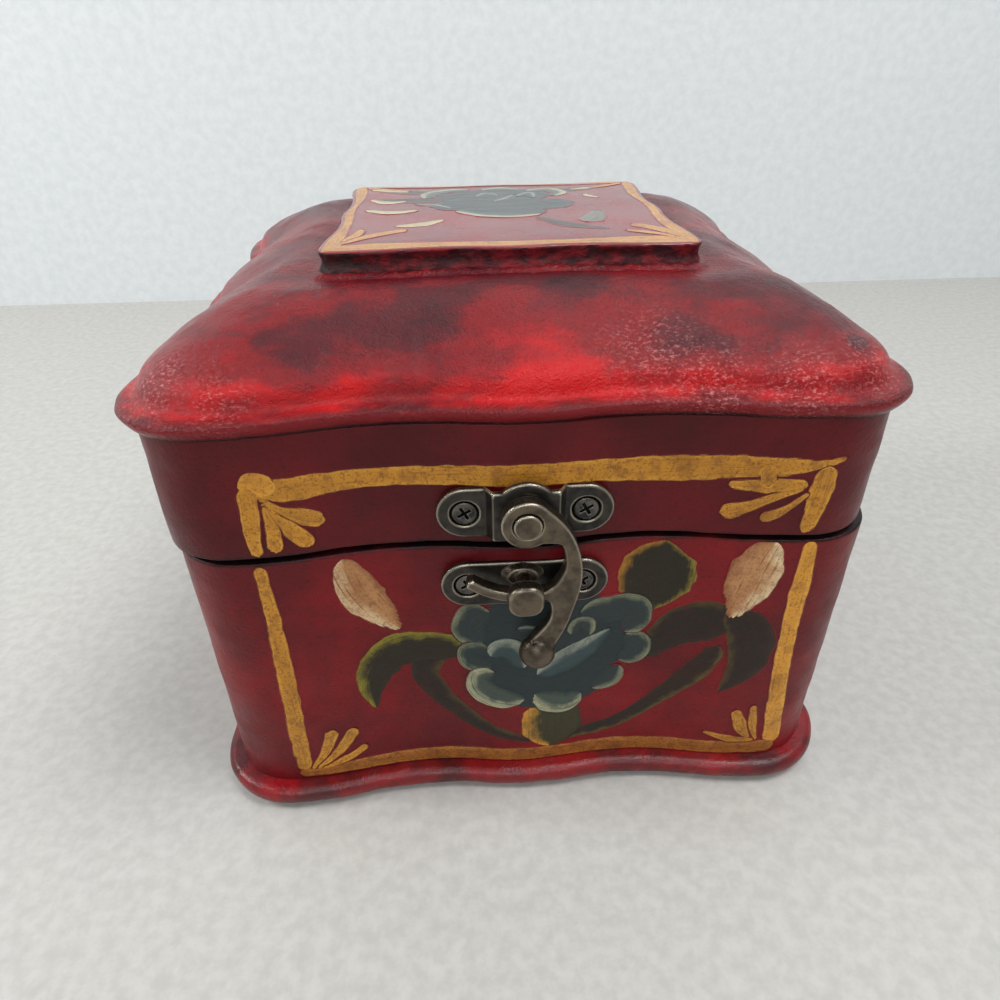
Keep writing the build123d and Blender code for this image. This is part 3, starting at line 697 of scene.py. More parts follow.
def wall_shell(name, body, nodes, span, shift, rounded, seed):
    """One continuous skin over the four boards of a body, wrinkled outside and flat inside."""
    low, high = span
    heights = [
        np.linspace(low, low + EDGE_RADIUS, 5),
        np.linspace(low, high, 72)[1:-1],
        np.linspace(high - EDGE_RADIUS, high, 5),
    ]
    rows = []
    for z in np.sort(np.concatenate(heights)):
        from_edge = (high - z) if rounded == "top" else (z - low)
        inset = WALL_INSET
        if from_edge < EDGE_RADIUS:
            inset += EDGE_RADIUS - math.sqrt(EDGE_RADIUS ** 2 - (EDGE_RADIUS - from_edge) ** 2)
        loop = outline(HALF_X - inset, HALF_Y - inset, CORNER_RADIUS - inset, HOLLOW_DEPTH)
        rows.append(loop_at(loop, z, shift))
    rows = held_level(crumple(np.array(rows), WALL_RELIEF, seed), low, high)
    inner = outline(INNER_X, INNER_Y, INNER_CORNER, 0.0)
    inner_rows = [loop_at(inner, z, shift) for z in np.linspace(high, low, 6)]
    rows = np.concatenate([rows, np.array(inner_rows)])
    faces = ring_faces(len(rows), rows.shape[1], closed_rows=True)
    return dress(make_object(name, rows.reshape(-1, 3), faces), ["walls"], body, *nodes)


def plinth_shell():
    """Bead round the foot of the base, uneven as it was dipped and rubbed."""
    low, high = plinth_low[2], plinth_high[2]
    half_x, half_y = halves(plinth_low, plinth_high)
    overhang = half_x - HALF_X
    middle, half = (low + high) / 2, (high - low) / 2
    rows = []
    for turn in np.linspace(-90, 90, 25):
        angle = math.radians(turn)
        inset = 0.25 + half * (1 - math.cos(angle)) ** 1.15
        loop = outline(half_x - inset, half_y - inset, CORNER_RADIUS + overhang - inset, HOLLOW_DEPTH)
        rows.append(loop_at(loop, middle + half * math.sin(angle)))
    rows = held_level(crumple(np.array(rows), ((0.2, 8.0), (0.06, 2.4)), 31), low, high)
    shell = capped_object("plinth_bead", rows, (0, 0, low), (0, 0, high))
    return dress(shell, ["plinth"], "base", "plinth_board")


# Pillowed top
RIM_HOLLOW = 3.7
PANEL_HOLLOW = 1.4
PANEL_CORNER = 3.0
DOME_POWER = 1.8
DOME_SHOULDER = 0.88
RIM_CREST = 3.2
RIM_LOOPS = 14
PANEL_SETBACK = dome_high[1] - panel_high[1]
FOLD_HEIGHT = 0.9
SETTLE_DEPTH = 1.9
SKIN_INSET = 0.3


def dome_outline(share):
    """Size of the pillow part of the way from the rim to the foot of the panel."""
    half_x, half_y = halves(dome_low, dome_high)
    panel_x, panel_y = halves(panel_low, panel_high)
    overhang = half_x - HALF_X
    return (
        half_x + (panel_x - half_x) * share,
        half_y + (panel_y - half_y) * share,
        (CORNER_RADIUS + overhang) * (1 - share) + PANEL_CORNER * share,
        RIM_HOLLOW * (1 - share) + PANEL_HOLLOW * share,
    )


# Scars of the pillow's front: place in X and Z, half width, half height and how far each stands out
SCARS = (
    ((-18.6, 95.5), 0.9, 2.6, 0.40), ((-20.6, 94.6), 1.1, 3.2, -0.35), ((-16.6, 94.4), 1.3, 3.0, -0.22),
    ((-19.5, 90.2), 1.4, 0.9, -0.30), ((25.0, 92.2), 0.9, 1.6, 0.25), ((27.0, 92.2), 1.2, 1.8, -0.20),
)
GROOVE_Z = 91.9
GROOVE_HALF = 1.3
GROOVE_DEPTH = 1.25


def dome_marks(points):
    """How far the pillow's own marks stand out: ribs, scars, and the groove behind the lip of the rim."""
    push = 0.10 * fractal(points * np.array([1.0, 1.0, 0.22]), 4.6, 2, 61)
    push -= GROOVE_DEPTH * np.exp(-((points[:, 2] - GROOVE_Z) / GROOVE_HALF) ** 2)
    front = points[:, 1] < 0
    for (x, z), half_wide, half_tall, height in SCARS:
        fade = np.exp(-((points[:, 0] - x) / half_wide) ** 2 - ((points[:, 2] - z) / half_tall) ** 4)
        push += height * fade * front
    return push


# Hollow under the pillow, as in the CAD model: share of its height, how far it is drawn in, and its corners
CAVITY_LEVELS = np.array(((0.0, 0.0, 2.0), (0.38, 2.2, 5.0), (0.76, 9.0, 10.0), (1.0, 20.0, 12.0)))
CAVITY_SKIN = 0.5


def cavity_rows(low, ceiling):
    """Loops up the inside of the pillow, hidden in the thickness of its lining."""
    steps = np.diff(CAVITY_LEVELS[:, :2] * (ceiling - low, 1.0), axis=0)
    reach = np.concatenate([[0], np.cumsum(np.linalg.norm(steps, axis=1))])
    curves = [np.polyfit(reach, column, 3) for column in CAVITY_LEVELS.T]
    rows = []
    for place in np.linspace(0, reach[-1], 16):
        share, inset, corner = (np.polyval(curve, place) for curve in curves)
        half_x, half_y = INNER_X - inset - CAVITY_SKIN, INNER_Y - inset - CAVITY_SKIN
        loop = outline(half_x, half_y, corner, 0.0)
        rows.append(loop_at(loop, low + share * (ceiling - low - CAVITY_SKIN), LID_SHIFT))
    return np.array(rows)


def rim_rows(low, crest):
    """Loops up the rolled rim."""
    half_x, half_y, corner, hollow = dome_outline(0.0)
    rows = []
    for share in np.linspace(0, 1, RIM_LOOPS):
        tuck = 1.9 * (1 - share) ** 1.6 + SKIN_INSET
        z = low + (crest - low - 2 * SKIN_INSET) * share
        rows.append(loop_at(outline(half_x - tuck, half_y - tuck, corner - tuck, hollow), z, LID_SHIFT))
    return rows


def pillow_rows(crest, foot):
    """Loops over the pillow, and how far each lies from the foot of the panel."""
    rows, aways = [], []
    for share in np.linspace(0.006, 1, 96) ** 1.25:
        half_x, half_y, corner, hollow = dome_outline(share)
        rise = (1 - (1 - share) ** DOME_POWER) ** DOME_SHOULDER
        z = crest - SKIN_INSET + (foot - crest + SKIN_INSET) * rise
        away = (1 - share) * PANEL_SETBACK
        z += FOLD_HEIGHT * math.exp(-(away / 1.5) ** 4) - SETTLE_DEPTH * math.exp(-(away / 6.0) ** 2)
        aways.append(away)
        loop = outline(half_x - SKIN_INSET, half_y - SKIN_INSET, corner, hollow)
        rows.append(loop_at(loop, z, LID_SHIFT))
    return rows, aways


def dome_shell():
    """Pillow with a rolled rim over the hollow that the linings fill."""
    low, foot = dome_low[2], panel_low[2]
    crest = low + RIM_CREST
    pillow, aways = pillow_rows(crest, foot)
    rows = np.array(rim_rows(low, crest) + pillow)
    aways = [PANEL_SETBACK] * RIM_LOOPS + aways
    flat = rows.reshape(-1, 3)
    folded = np.exp(-(np.repeat(aways, rows.shape[1]) / 1.9) ** 2)
    push = dome_marks(flat) + 0.30 * folded * fractal(flat, 1.5, 2, 55)
    rows = held_level(crumple(rows, ((0.5, 22.0), (0.07, 5.0), (0.03, 1.8)), 51, push), low, foot)
    inner = cavity_rows(low, node_span("lid_crown_lining")[1][2])
    rows = np.concatenate([inner[::-1], rows])
    shell = capped_object("lid_pillow", rows, (LID_SHIFT, 0, inner[-1][0, 2]), (LID_SHIFT, 0, foot))
    return dress(shell, ["dome"], "lid", "lid_dome")


# Profile of the panel's edge: share of its height and how far it lies inside the outline
PANEL_PROFILE = (
    (0.0, 0.05), (0.12, 0.05), (0.22, 0.05), (0.30, 0.15), (0.38, 0.30), (0.48, 0.45),
    (0.58, 0.50), (0.68, 0.46), (0.78, 0.36), (0.87, 0.24), (0.93, 0.14), (0.97, 0.14),
)
# Loops of the panel's rounded upper edge: how far in and how far down each lies
PANEL_TOP_RINGS = ((0.25, 0.2), (0.45, 0.07), (0.8, 0.0))
PANEL_TOP_GAP = 0.1


def panel_shell():
    """Raised panel: smooth on top, its edge crumpled where the skin was folded over."""
    low, high = panel_low[2] - SETTLE_DEPTH, panel_high[2] - PANEL_TOP_GAP
    half_x, half_y = halves(panel_low, panel_high)

    def loop(inset, z):
        return loop_at(outline(half_x - inset, half_y - inset, PANEL_CORNER, PANEL_HOLLOW), z, LID_SHIFT)

    edge_top = high - PANEL_TOP_RINGS[0][1]
    side = [loop(inset, low + (edge_top - low) * share) for share, inset in PANEL_PROFILE]
    rows = list(crumple(np.array(side), ((0.22, 6.0), (0.18, 1.5)), 71))
    rows += [loop(inset, high - drop) for inset, drop in PANEL_TOP_RINGS]
    centre = np.array([LID_SHIFT, 0.0])
    rim = rows[-1]
    for share in (0.75, 0.5, 0.25):
        ring = rim.copy()
        ring[:, :2] = centre + (rim[:, :2] - centre) * share
        rows.append(ring)
    rows = held_level(np.array(rows), low, high)
    shell = capped_object("panel_board", rows, (LID_SHIFT, 0, low), (LID_SHIFT, 0, high))
    dress(shell, ["panel", "panel_edge"], "lid", "top_panel")
    for face in shell.data.polygons:
        face.material_index = int(face.center.z < edge_top * MM)
    return shell


# Cast fittings: body, and turns of softening, of each
CAST_FITTINGS = {
    "swing_hook": ("hook", 9),
    "latch_plate": ("lid", 5),
    "catch_plate": ("base", 5),
    "catch_post": ("base", 7),
    "latch_rivet": ("lid", 5),
}
CAST_VOXEL = 0.17
RIVET_SLACK = 0.06
WEAR_TURNS = 14
WEAR_DEPTH = 0.16
# The prong's arc round the pivot: pivot in X and Z, reach, where it ends in degrees, and how much is left
PRONG_DRAWN = ((-1.1, 70.9), (13.6, 17.0), 262.0, 0.73)


def neighbours_mean(values, edges, count):
    """Each vertex's mean over its neighbours."""
    total = np.zeros_like(values)
    for here, there in ((0, 1), (1, 0)):
        np.add.at(total, edges[:, here], values[edges[:, there]])
    return total / np.maximum(count, 1)[:, None]


def relax(points, edges, turns):
    """Points moved towards their neighbours again and again."""
    count = np.bincount(edges.ravel(), minlength=len(points))
    for _ in range(turns):
        points = 0.5 * points + 0.5 * neighbours_mean(points, edges, count)
    return points


def shorter_prong(points):
    """The hook with its prong drawn in along its arc, as short as in the photograph."""
    place, reach, stop, share = PRONG_DRAWN
    arm = points[:, [0, 2]] - place
    radius = np.linalg.norm(arm, axis=1)
    angle = np.degrees(np.arctan2(arm[:, 1], arm[:, 0])) % 360
    on_prong = (radius > reach[0]) & (radius < reach[1]) & (angle > 180) & (angle < stop)
    drawn = np.radians(np.where(on_prong, stop - (stop - angle) * share, angle))
    moved = points.copy()
    moved[:, 0] = place[0] + radius * np.cos(drawn)
    moved[:, 2] = place[1] + radius * np.sin(drawn)
    return moved


def read_all(collection, key, width, kind=float):
    """One property of all the vertices or edges, as rows."""
    flat = np.empty(len(collection) * width, dtype=kind)
    collection.foreach_get(key, flat)
    return flat.reshape(-1, width)


def set_points(mesh, points):
    """Vertices moved to points in millimetres, and their new normals."""
    mesh.vertices.foreach_set("co", (points * MM).ravel())
    mesh.update()
    return read_all(mesh.vertices, "normal", 3)


def cast_copy(node, body, turns):
    """A cast fitting over its CAD node: the same form with soft edges, the wear of those edges, which the
    bronze also brightens as painted highlight, and how far each point faces up, for painted shade on top
    faces.
    """
    source = frame["nodes"][node]
    thing = bpy.data.objects.new(f"{node}_cast", source.data.copy())
    bpy.context.scene.collection.objects.link(thing)
    remesh = thing.modifiers.new("cast", "REMESH")
    remesh.mode = "VOXEL"
    remesh.voxel_size = CAST_VOXEL * MM
    bpy.context.view_layer.update()
    mesh = bpy.data.meshes.new_from_object(thing.evaluated_get(bpy.context.evaluated_depsgraph_get()))
    thing.modifiers.clear()
    thing.data = mesh
    edges = read_all(mesh.edges, "vertices", 2, int)
    points = relax(read_all(mesh.vertices, "co", 3) / MM, edges, turns)
    if node == "swing_hook":
        points = shorter_prong(points)
    normals = set_points(mesh, points)
    if node == "latch_rivet":
        points -= normals * RIVET_SLACK
        set_points(mesh, points)
    softer = relax(points, edges, WEAR_TURNS)
    wear = np.sum((points - softer) * normals, axis=1) / WEAR_DEPTH
    # How far each point faces up, for the painted shade on top faces.
    up = np.clip((normals[:, 2] - 0.35) * 2.2, 0, 1)
    for key, values in (("wear", wear), ("up", up)):
        mesh.attributes.new(key, "FLOAT", "POINT").data.foreach_set("value", values.astype(np.float32))
    mesh.polygons.foreach_set("use_smooth", [True] * len(mesh.polygons))
    mesh.materials.clear()
    mesh.materials.append(MATERIALS["plate" if node.endswith("plate") else "bronze"])
    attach(thing, body)
    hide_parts(node)
    return thing


# Brushwork
RAY_START = 3.0
STROKE_POINTS = 17
STROKE_SPACING = 0.45
STROKE_EDGE = 0.28
STROKE_BODY = 0.015
STROKE_STEP = 0.013
STROKE_ROOT = -0.3
STROKE_HEEL = -0.03
UNDER_BLUR = 0.5
PANEL_MARGIN = 1.1
PAST_LIMIT = 0.12


def held(values, low, high):
    """Values held between two limits; those past a limit lie close beyond it, in the same order."""
    beyond = np.tanh(np.maximum(values - high, 0)) - np.tanh(np.maximum(low - values, 0))
    return np.clip(values, low, high) + PAST_LIMIT * beyond


class Canvas:
    """A skin to paint on, seen along an axis, with two flat coordinates held within limits."""

    def __init__(self, skin, spread, limits):
        mesh = skin.data
        vertices = [vertex.co for vertex in mesh.vertices]
        self.tree = BVHTree.FromPolygons(vertices, [tuple(face.vertices) for face in mesh.polygons])
        self.spread = spread
        self.limits = limits

    def points(self, first, second, lift):
        """Points of the skin, each lifted off it."""
        first, second = self.limits(first, second)
        found = []
        for a, b, height in zip(first.flat, second.flat, lift.flat):
            start, stop = (Vector(self.spread(a, b, depth)) * MM for depth in (RAY_START, 0.0))
            place, normal = self.tree.ray_cast(start, (stop - start).normalized())[:2]
            if place is None:
                place, normal = self.tree.find_nearest(Vector(self.spread(a, b, 1.0)) * MM)[:2]
            found.append((place + normal * height * MM) / MM)
        return np.array(found).reshape(first.shape + (3,))


def front_canvas(skin, low, high):
    """A skin's front, painted in X and Z between two heights."""
    def limits(x, z):
        return x, held(z, low, high)

    return Canvas(skin, lambda x, z, depth: (x, -HALF_Y * depth, z), limits)


def panel_canvas(skin):
    """The panel's top, painted in X and Y within its wavy outline."""
    half_x, half_y = halves(panel_low, panel_high)

    def limits(x, y):
        reach_x = half_x - PANEL_MARGIN - side_fall(y, half_y, PANEL_CORNER, PANEL_HOLLOW)
        reach_y = half_y - PANEL_MARGIN - side_fall(x - LID_SHIFT, half_x, PANEL_CORNER, PANEL_HOLLOW)
        return LID_SHIFT + held(x - LID_SHIFT, -reach_x, reach_x), held(y, -reach_y, reach_y)

    return Canvas(skin, lambda x, y, depth: (x, y, panel_high[2] * depth), limits)


def smooth_line(points, spacing, spare):
    """Even points on a smooth curve through given ones, run on a little at both ends."""
    points = np.array(points, dtype=float)
    reach = np.concatenate([[0], np.cumsum(np.linalg.norm(np.diff(points, axis=0), axis=1))])
    slopes = np.gradient(points, reach, axis=0)
    count = max(9, int(reach[-1] / spacing))
    where = np.linspace(-spare, reach[-1] + spare, count)
    index = np.clip(np.searchsorted(reach, where, side="right") - 1, 0, len(points) - 2)
    gap = (reach[index + 1] - reach[index])[:, None]
    t = ((where - reach[index]) / gap[:, 0])[:, None]
    start, stop = points[index], points[index + 1]
    line = (
        (2 * t ** 3 - 3 * t ** 2 + 1) * start
        + (t ** 3 - 2 * t ** 2 + t) * gap * slopes[index]
        + (3 * t ** 2 - 2 * t ** 3) * stop
        + (t ** 3 - t ** 2) * gap * slopes[index + 1]
    )
    return line, where, reach[-1]


def half_widths(where, length, widths, order):
    """Painted half width to each side along a stroke: half round ends and slightly wavering edges."""
    share = np.clip(where / length, 0, 1)
    width = np.interp(share, np.linspace(0, 1, len(widths)), widths)
    from_start = np.clip(where / (widths[0] / 2), 0, 1)
    from_end = np.clip((length - where) / (widths[-1] / 2), 0, 1)
    ends = np.sqrt(1 - (1 - from_start) ** 2) * np.sqrt(1 - (1 - from_end) ** 2)
    sides = []
    for edge in (0, 1):
        waver = fractal([(place, order * 3.1, edge * 50.0) for place in where], 2.6, 2)
        sides.append(ends * (width / 2 * (1 + 0.07 * waver) + 0.08 * waver))
    return np.maximum(sides[0], 0), np.maximum(sides[1], 0), share


def depth_inside(flat, line, half):
    """How far inside a painted line each flat place lies, in millimetres."""
    away = np.linalg.norm(flat[:, :, None] - line[None, None], axis=3)
    nearest = away.argmin(axis=2)
    return half[nearest] - away.min(axis=2)


def stroke_grid(points, widths, order):
    """Flat places of one stroke and what its paint needs to know at each."""
    line, where, length = smooth_line(points, STROKE_SPACING, STROKE_EDGE)
    right, left, share = half_widths(where, length, widths, order)
    direction = np.gradient(line, axis=0)
    direction /= np.linalg.norm(direction, axis=1, keepdims=True)
    across_way = np.stack([-direction[:, 1], direction[:, 0]], axis=1)
    side = np.sin(np.linspace(-math.pi / 2, math.pi / 2, STROKE_POINTS))
    painted = np.where(side[None, :] < 0, right[:, None], left[:, None])
    across = side[None, :] * (painted + STROKE_EDGE)
    flat = line[:, None, :] + across_way[:, None, :] * across[:, :, None]
    beyond = np.maximum(-where, 0) + np.maximum(where - length, 0)
    values = {
        "side": np.broadcast_to(side, across.shape),
        "across": across,
        "along": np.broadcast_to(where[:, None], across.shape),
        "share": np.broadcast_to(share[:, None], across.shape),
        "margin": painted - np.abs(across) - beyond[:, None],
        "order": np.full(across.shape, order * 1.37),
    }
    return flat, side, values, line, (right + left) / 2


def touched(earlier, box):
    """The earlier strokes whose boxes a new stroke's box touches."""
    low, high = box
    return [stroke for stroke in earlier if np.all(stroke["low"] < high) and np.all(stroke["high"] > low)]


def colour_below(flat, touching):
    """Colour of the earlier strokes under each flat place, with how far they cover it as alpha."""
    below = np.zeros(flat.shape[:2] + (4,))
    for stroke in touching:
        depth = depth_inside(flat, stroke["line"], stroke["half"])
        share = np.clip(depth / UNDER_BLUR, 0, 1)[:, :, None]
        below = below * (1 - share) + np.array(srgb(*stroke["tint"])) * share
    return below


def both_faces(grid):
    """A stroke's values over its top and back along its underside, one ring of them after another."""
    return np.concatenate([grid, grid[:, 1:-1][:, ::-1]], axis=1)


def stroke_rings(canvas, flat, side, level):
    """Closed rings round a stroke: its crowned top, and its underside sunk in the skin."""
    lift = STROKE_STEP * (level + 1) + STROKE_BODY * (1 - side ** 2)
    lift[[0, -1]] = STROKE_HEEL
    top = canvas.points(flat[:, :, 0], flat[:, :, 1], np.broadcast_to(lift, flat.shape[:2]))
    hidden = flat[:, 1:-1]
    root = np.full(hidden.shape[:2], STROKE_ROOT)
    bottom = canvas.points(hidden[:, :, 0], hidden[:, :, 1], root)
    return np.concatenate([top, bottom[:, ::-1]], axis=1)


def paint_set(name, canvas, ground, body, strokes):
    """Strokes of a brush in one piece: low closed reliefs on a skin, in the order they are painted."""
    vertices, faces, paints, earlier, under_paint = [], [], [], [], []
    data = {key: [] for key in ("side", "across", "along", "share", "margin", "order")}
    materials = sorted({paint for paint, points, widths in strokes})
    for order, (paint, points, widths) in enumerate(strokes, 1):
        flat, side, values, line, half = stroke_grid(points, widths, order)
        box = flat.min(axis=(0, 1)), flat.max(axis=(0, 1))
        touching = touched(earlier, box)
        level = 1 + max((stroke["level"] for stroke in touching), default=0)
        below = colour_below(flat, touching)
        tint = PAINTS[paint].middle
        earlier.append(dict(low=box[0], high=box[1], level=level, tint=tint, line=line, half=half))
        rings = stroke_rings(canvas, flat, side, level)
        count, per_ring = rings.shape[:2]
        first = sum(len(block) for block in vertices)
        last = (count - 1) * per_ring
        new = ring_faces(count, per_ring)
        new += [tuple(range(per_ring)), tuple(last + corner for corner in reversed(range(per_ring)))]
        faces += [tuple(first + corner for corner in face) for face in new]
        paints += [materials.index(paint)] * len(new)
        vertices.append(rings.reshape(-1, 3))
        for key, grid in values.items():
            data[key].append(both_faces(grid).ravel())
        under_paint.append(both_faces(below).ravel())
    thing = make_object(name, np.concatenate(vertices), faces)
    under_paint = np.concatenate(under_paint).astype(np.float32)
    thing.data.attributes.new("below", "FLOAT_COLOR", "POINT").data.foreach_set("color", under_paint)
    for key, blocks in data.items():
        values = np.concatenate(blocks).astype(np.float32)
        thing.data.attributes.new(key, "FLOAT", "POINT").data.foreach_set("value", values)
    for paint in materials:
        thing.data.materials.append(paint_material(paint, ground))
    thing.data.polygons.foreach_set("material_index", paints)
    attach(thing, body)
    return thing


# Strokes in the order they are painted: paint, places on the canvas and widths from start to end
LID_BORDER = [
    ("gold", [(-46.8, 78), (-40, 77.2), (-32, 77.6), (-15, 77.6), (5, 77.6), (25, 77.2), (36, 77.9),
              (46, 78.3), (51.5, 79.4)],
     (4.2, 4.6, 3.7, 3.6, 3.9, 4.1, 4.2, 4.6, 5, 4.6, 3.4, 0.6)),
    # Brighter gold at the lid's top-left corner: a painted highlight.
    ("gold_bright", [(-47, 78.4), (-44.5, 78.6), (-41.5, 77.6)], (4.2, 4.8, 3.6)),
    ("gold", [(-45.9, 78), (-46.3, 72), (-46.6, 68), (-46.4, 64.6)], (3.2, 3.3, 2.8, 1.8)),
    ("gold", [(-44.2, 76), (-41.5, 73.4), (-38, 71.6), (-34.8, 70.4)], (0.8, 1.8, 3.6, 3.4)),
    ("gold", [(-44, 75), (-41.5, 71), (-39, 67.8), (-37.4, 65.8)], (0.8, 1.8, 3.4, 3)),
    ("gold", [(-43.8, 74.4), (-43.2, 69.6), (-43.3, 65.2)], (0.8, 2.2, 3)),
    ("gold", [(48.8, 78), (48.7, 74), (48.3, 70), (47.5, 64.8)], (3.8, 4.4, 3.6, 2.4)),
    ("gold", [(46, 74.4), (40, 74.4), (33.2, 74.4)], (2.4, 3.2, 1.4)),
    ("gold", [(45.5, 73.8), (40.6, 72), (36.5, 69.8), (32.6, 68.7)], (0.9, 1.6, 2.4, 3.8)),
    ("gold", [(46.5, 72.8), (43, 69.6), (39.4, 67.6)], (0.9, 1.6, 2.6)),
    ("gold", [(38.8, 78.2), (39.6, 74.2)], (2.4, 2.8)),
]

BASE_BORDER = [
    ("gold", [(-46.8, 62.2), (-46.5, 54), (-46.6, 43.3), (-46.8, 33.6), (-47.1, 24), (-47.4, 8)],
     (2.1, 2.8, 3.4, 3.5, 3.4, 3.2)),
    ("gold_bright", [(49.3, 62.8), (49.5, 58.5), (49.5, 47.5), (50.1, 35.5), (50.8, 25.3), (52.7, 8.4)],
     (2.4, 3.7, 3.4, 3.6, 4, 3.8)),
    ("gold_dim", [(-48.6, 7.1), (-38, 7.4), (-26, 7.4), (-12, 7.2), (2, 7.3), (16, 7.3), (30, 7.3),
                  (44, 7.4), (53.4, 7.6)],
     (2.4, 3.4, 4, 4.2, 4.1, 4.2, 4.1, 4.2, 3.6)),
    ("gold", [(-45.8, 8.2), (-42.6, 13), (-40.2, 19.2)], (0.8, 2.4, 2.6)),
    ("gold", [(-44.6, 8.2), (-39.6, 13), (-35.8, 18.6)], (0.8, 2.2, 2.8)),
    ("gold", [(-43.6, 8.2), (-38.3, 10.2), (-34, 13)], (0.8, 1.9, 1.6)),
    ("gold", [(47.6, 9.6), (45.4, 13.4), (43.2, 19.2)], (0.8, 3, 2.2)),
    ("gold", [(48.9, 9.8), (47.4, 15), (46.8, 20.6)], (0.8, 2, 1.6)),
    ("gold", [(48.4, 9.8), (42.8, 10.4), (37.6, 12)], (1, 2.2, 0.8)),
]

BASE_FLOWERS = [
    ("leaf_dark", [(-13.4, 41.4), (-18.2, 37.6), (-20.6, 33), (-18.6, 27.2), (-14.1, 20.8),
                   (-6.8, 14.4), (1, 11.6)],
     (4, 6.4, 5.6, 4.5, 3.9, 3.2, 2)),
    ("leaf", [(-31, 23.6), (-31.4, 28.5), (-30.2, 33.5), (-26.5, 38), (-19.5, 39.2), (-12.5, 38.4)],
     (1, 5.4, 8, 8.6, 7, 6)),
    ("stem", [(6, 11.6), (11, 12.6), (18.1, 14.4), (24, 19), (29.6, 25.1), (33.9, 30.7),
              (37.2, 37)],
     (2, 3.6, 3.4, 3.9, 4.8, 5.4, 3.4)),
    ("leaf_dark", [(23, 33.6), (26.4, 38.8), (30.8, 42.4), (35.2, 43.6), (39.4, 43.2)],
     (2.6, 7.4, 9.8, 10.4, 7)),
    ("leaf_dark", [(38.8, 24.6), (41.6, 29.5), (43.2, 34), (43, 38.6), (40.8, 43.2), (37.2, 45.6)],
     (0.8, 5, 8.2, 9, 8.4, 4.6)),
    ("leaf_rim", [(23.8, 46.2), (23.5, 51), (23.4, 55), (23.6, 59), (24.2, 62.2)],
     (2.4, 12.4, 15, 12.8, 4.6)),
    ("calyx", [(4.6, 9.4), (4.7, 14), (4.7, 19), (4.6, 24)], (10.4, 12.6, 12.8, 12)),
    ("teal", [(-8, 50.4), (2, 51.2), (13, 49.4)], (4, 5, 4)),
    ("teal", [(-11, 44.6), (-2, 45.2), (8, 45), (17, 44.6), (20, 44.4)],
     (7, 9, 11, 9, 6)),
    ("teal", [(-11, 38), (4, 37.4), (20, 36.8)], (9, 16, 16, 9)),
    ("teal", [(-9.4, 30), (4, 28), (16.6, 30.4)], (8, 13.4, 10)),
    ("petal", [(-9, 40.4), (-11.4, 42.8), (-11.2, 46.2), (-7.6, 48)], (4.4, 6.4, 6.4, 4)),
    ("petal", [(-7.6, 33.6), (-11.6, 35.4), (-11.6, 37.6), (-8, 38.8)], (3, 4.8, 4.8, 2.4)),
    ("petal_light", [(-1, 24.6), (-6, 25), (-9.6, 27.6), (-9.8, 31), (-7, 32.4)],
     (2.4, 5.6, 6.4, 5, 2.4)),
    ("petal_light", [(10.6, 24.6), (7.6, 22.8), (4.2, 23.4), (1.2, 25.8)], (2.8, 6.2, 6.4, 3)),
    ("petal", [(18.2, 31.4), (16.6, 28.2), (13, 25.6)], (3.2, 5.4, 2.6)),
    ("petal", [(18.8, 39.8), (21, 38), (21.2, 35.2), (18, 33)], (3.2, 5.4, 5.4, 3)),
    ("petal", [(9.6, 46.6), (15.6, 46.6), (19.8, 46.2), (20.6, 43.6), (18.6, 40.6)],
     (4, 6.6, 7.4, 6.4, 4)),
    ("sweep", [(1.6, 31.4), (6.4, 34.2), (10.8, 37), (15.6, 41.4)], (3, 6.4, 5, 1)),
    ("petal", [(8, 41.4), (9.2, 43.8), (11, 43.6), (11.6, 40.6)], (2, 3.4, 3.4, 1.6)),
    ("sweep", [(-7.4, 36.6), (-5.8, 38.8), (-3.2, 38.2), (-1.2, 33.6)], (2.6, 5.4, 5.4, 2.4)),
    ("sweep", [(-2.4, 43.8), (2.8, 43.6)], (1.8, 1.8)),
    ("bud_left", [(-32.9, 61.8), (-31.8, 57), (-29.8, 52), (-27, 47.6), (-24.4, 44.2)],
     (3.4, 7.2, 8, 5.8, 1.6)),
    ("bud", [(42.7, 63), (41, 57), (39.8, 51), (38, 44.8)], (4.6, 9.6, 8.6, 1.8)),
]

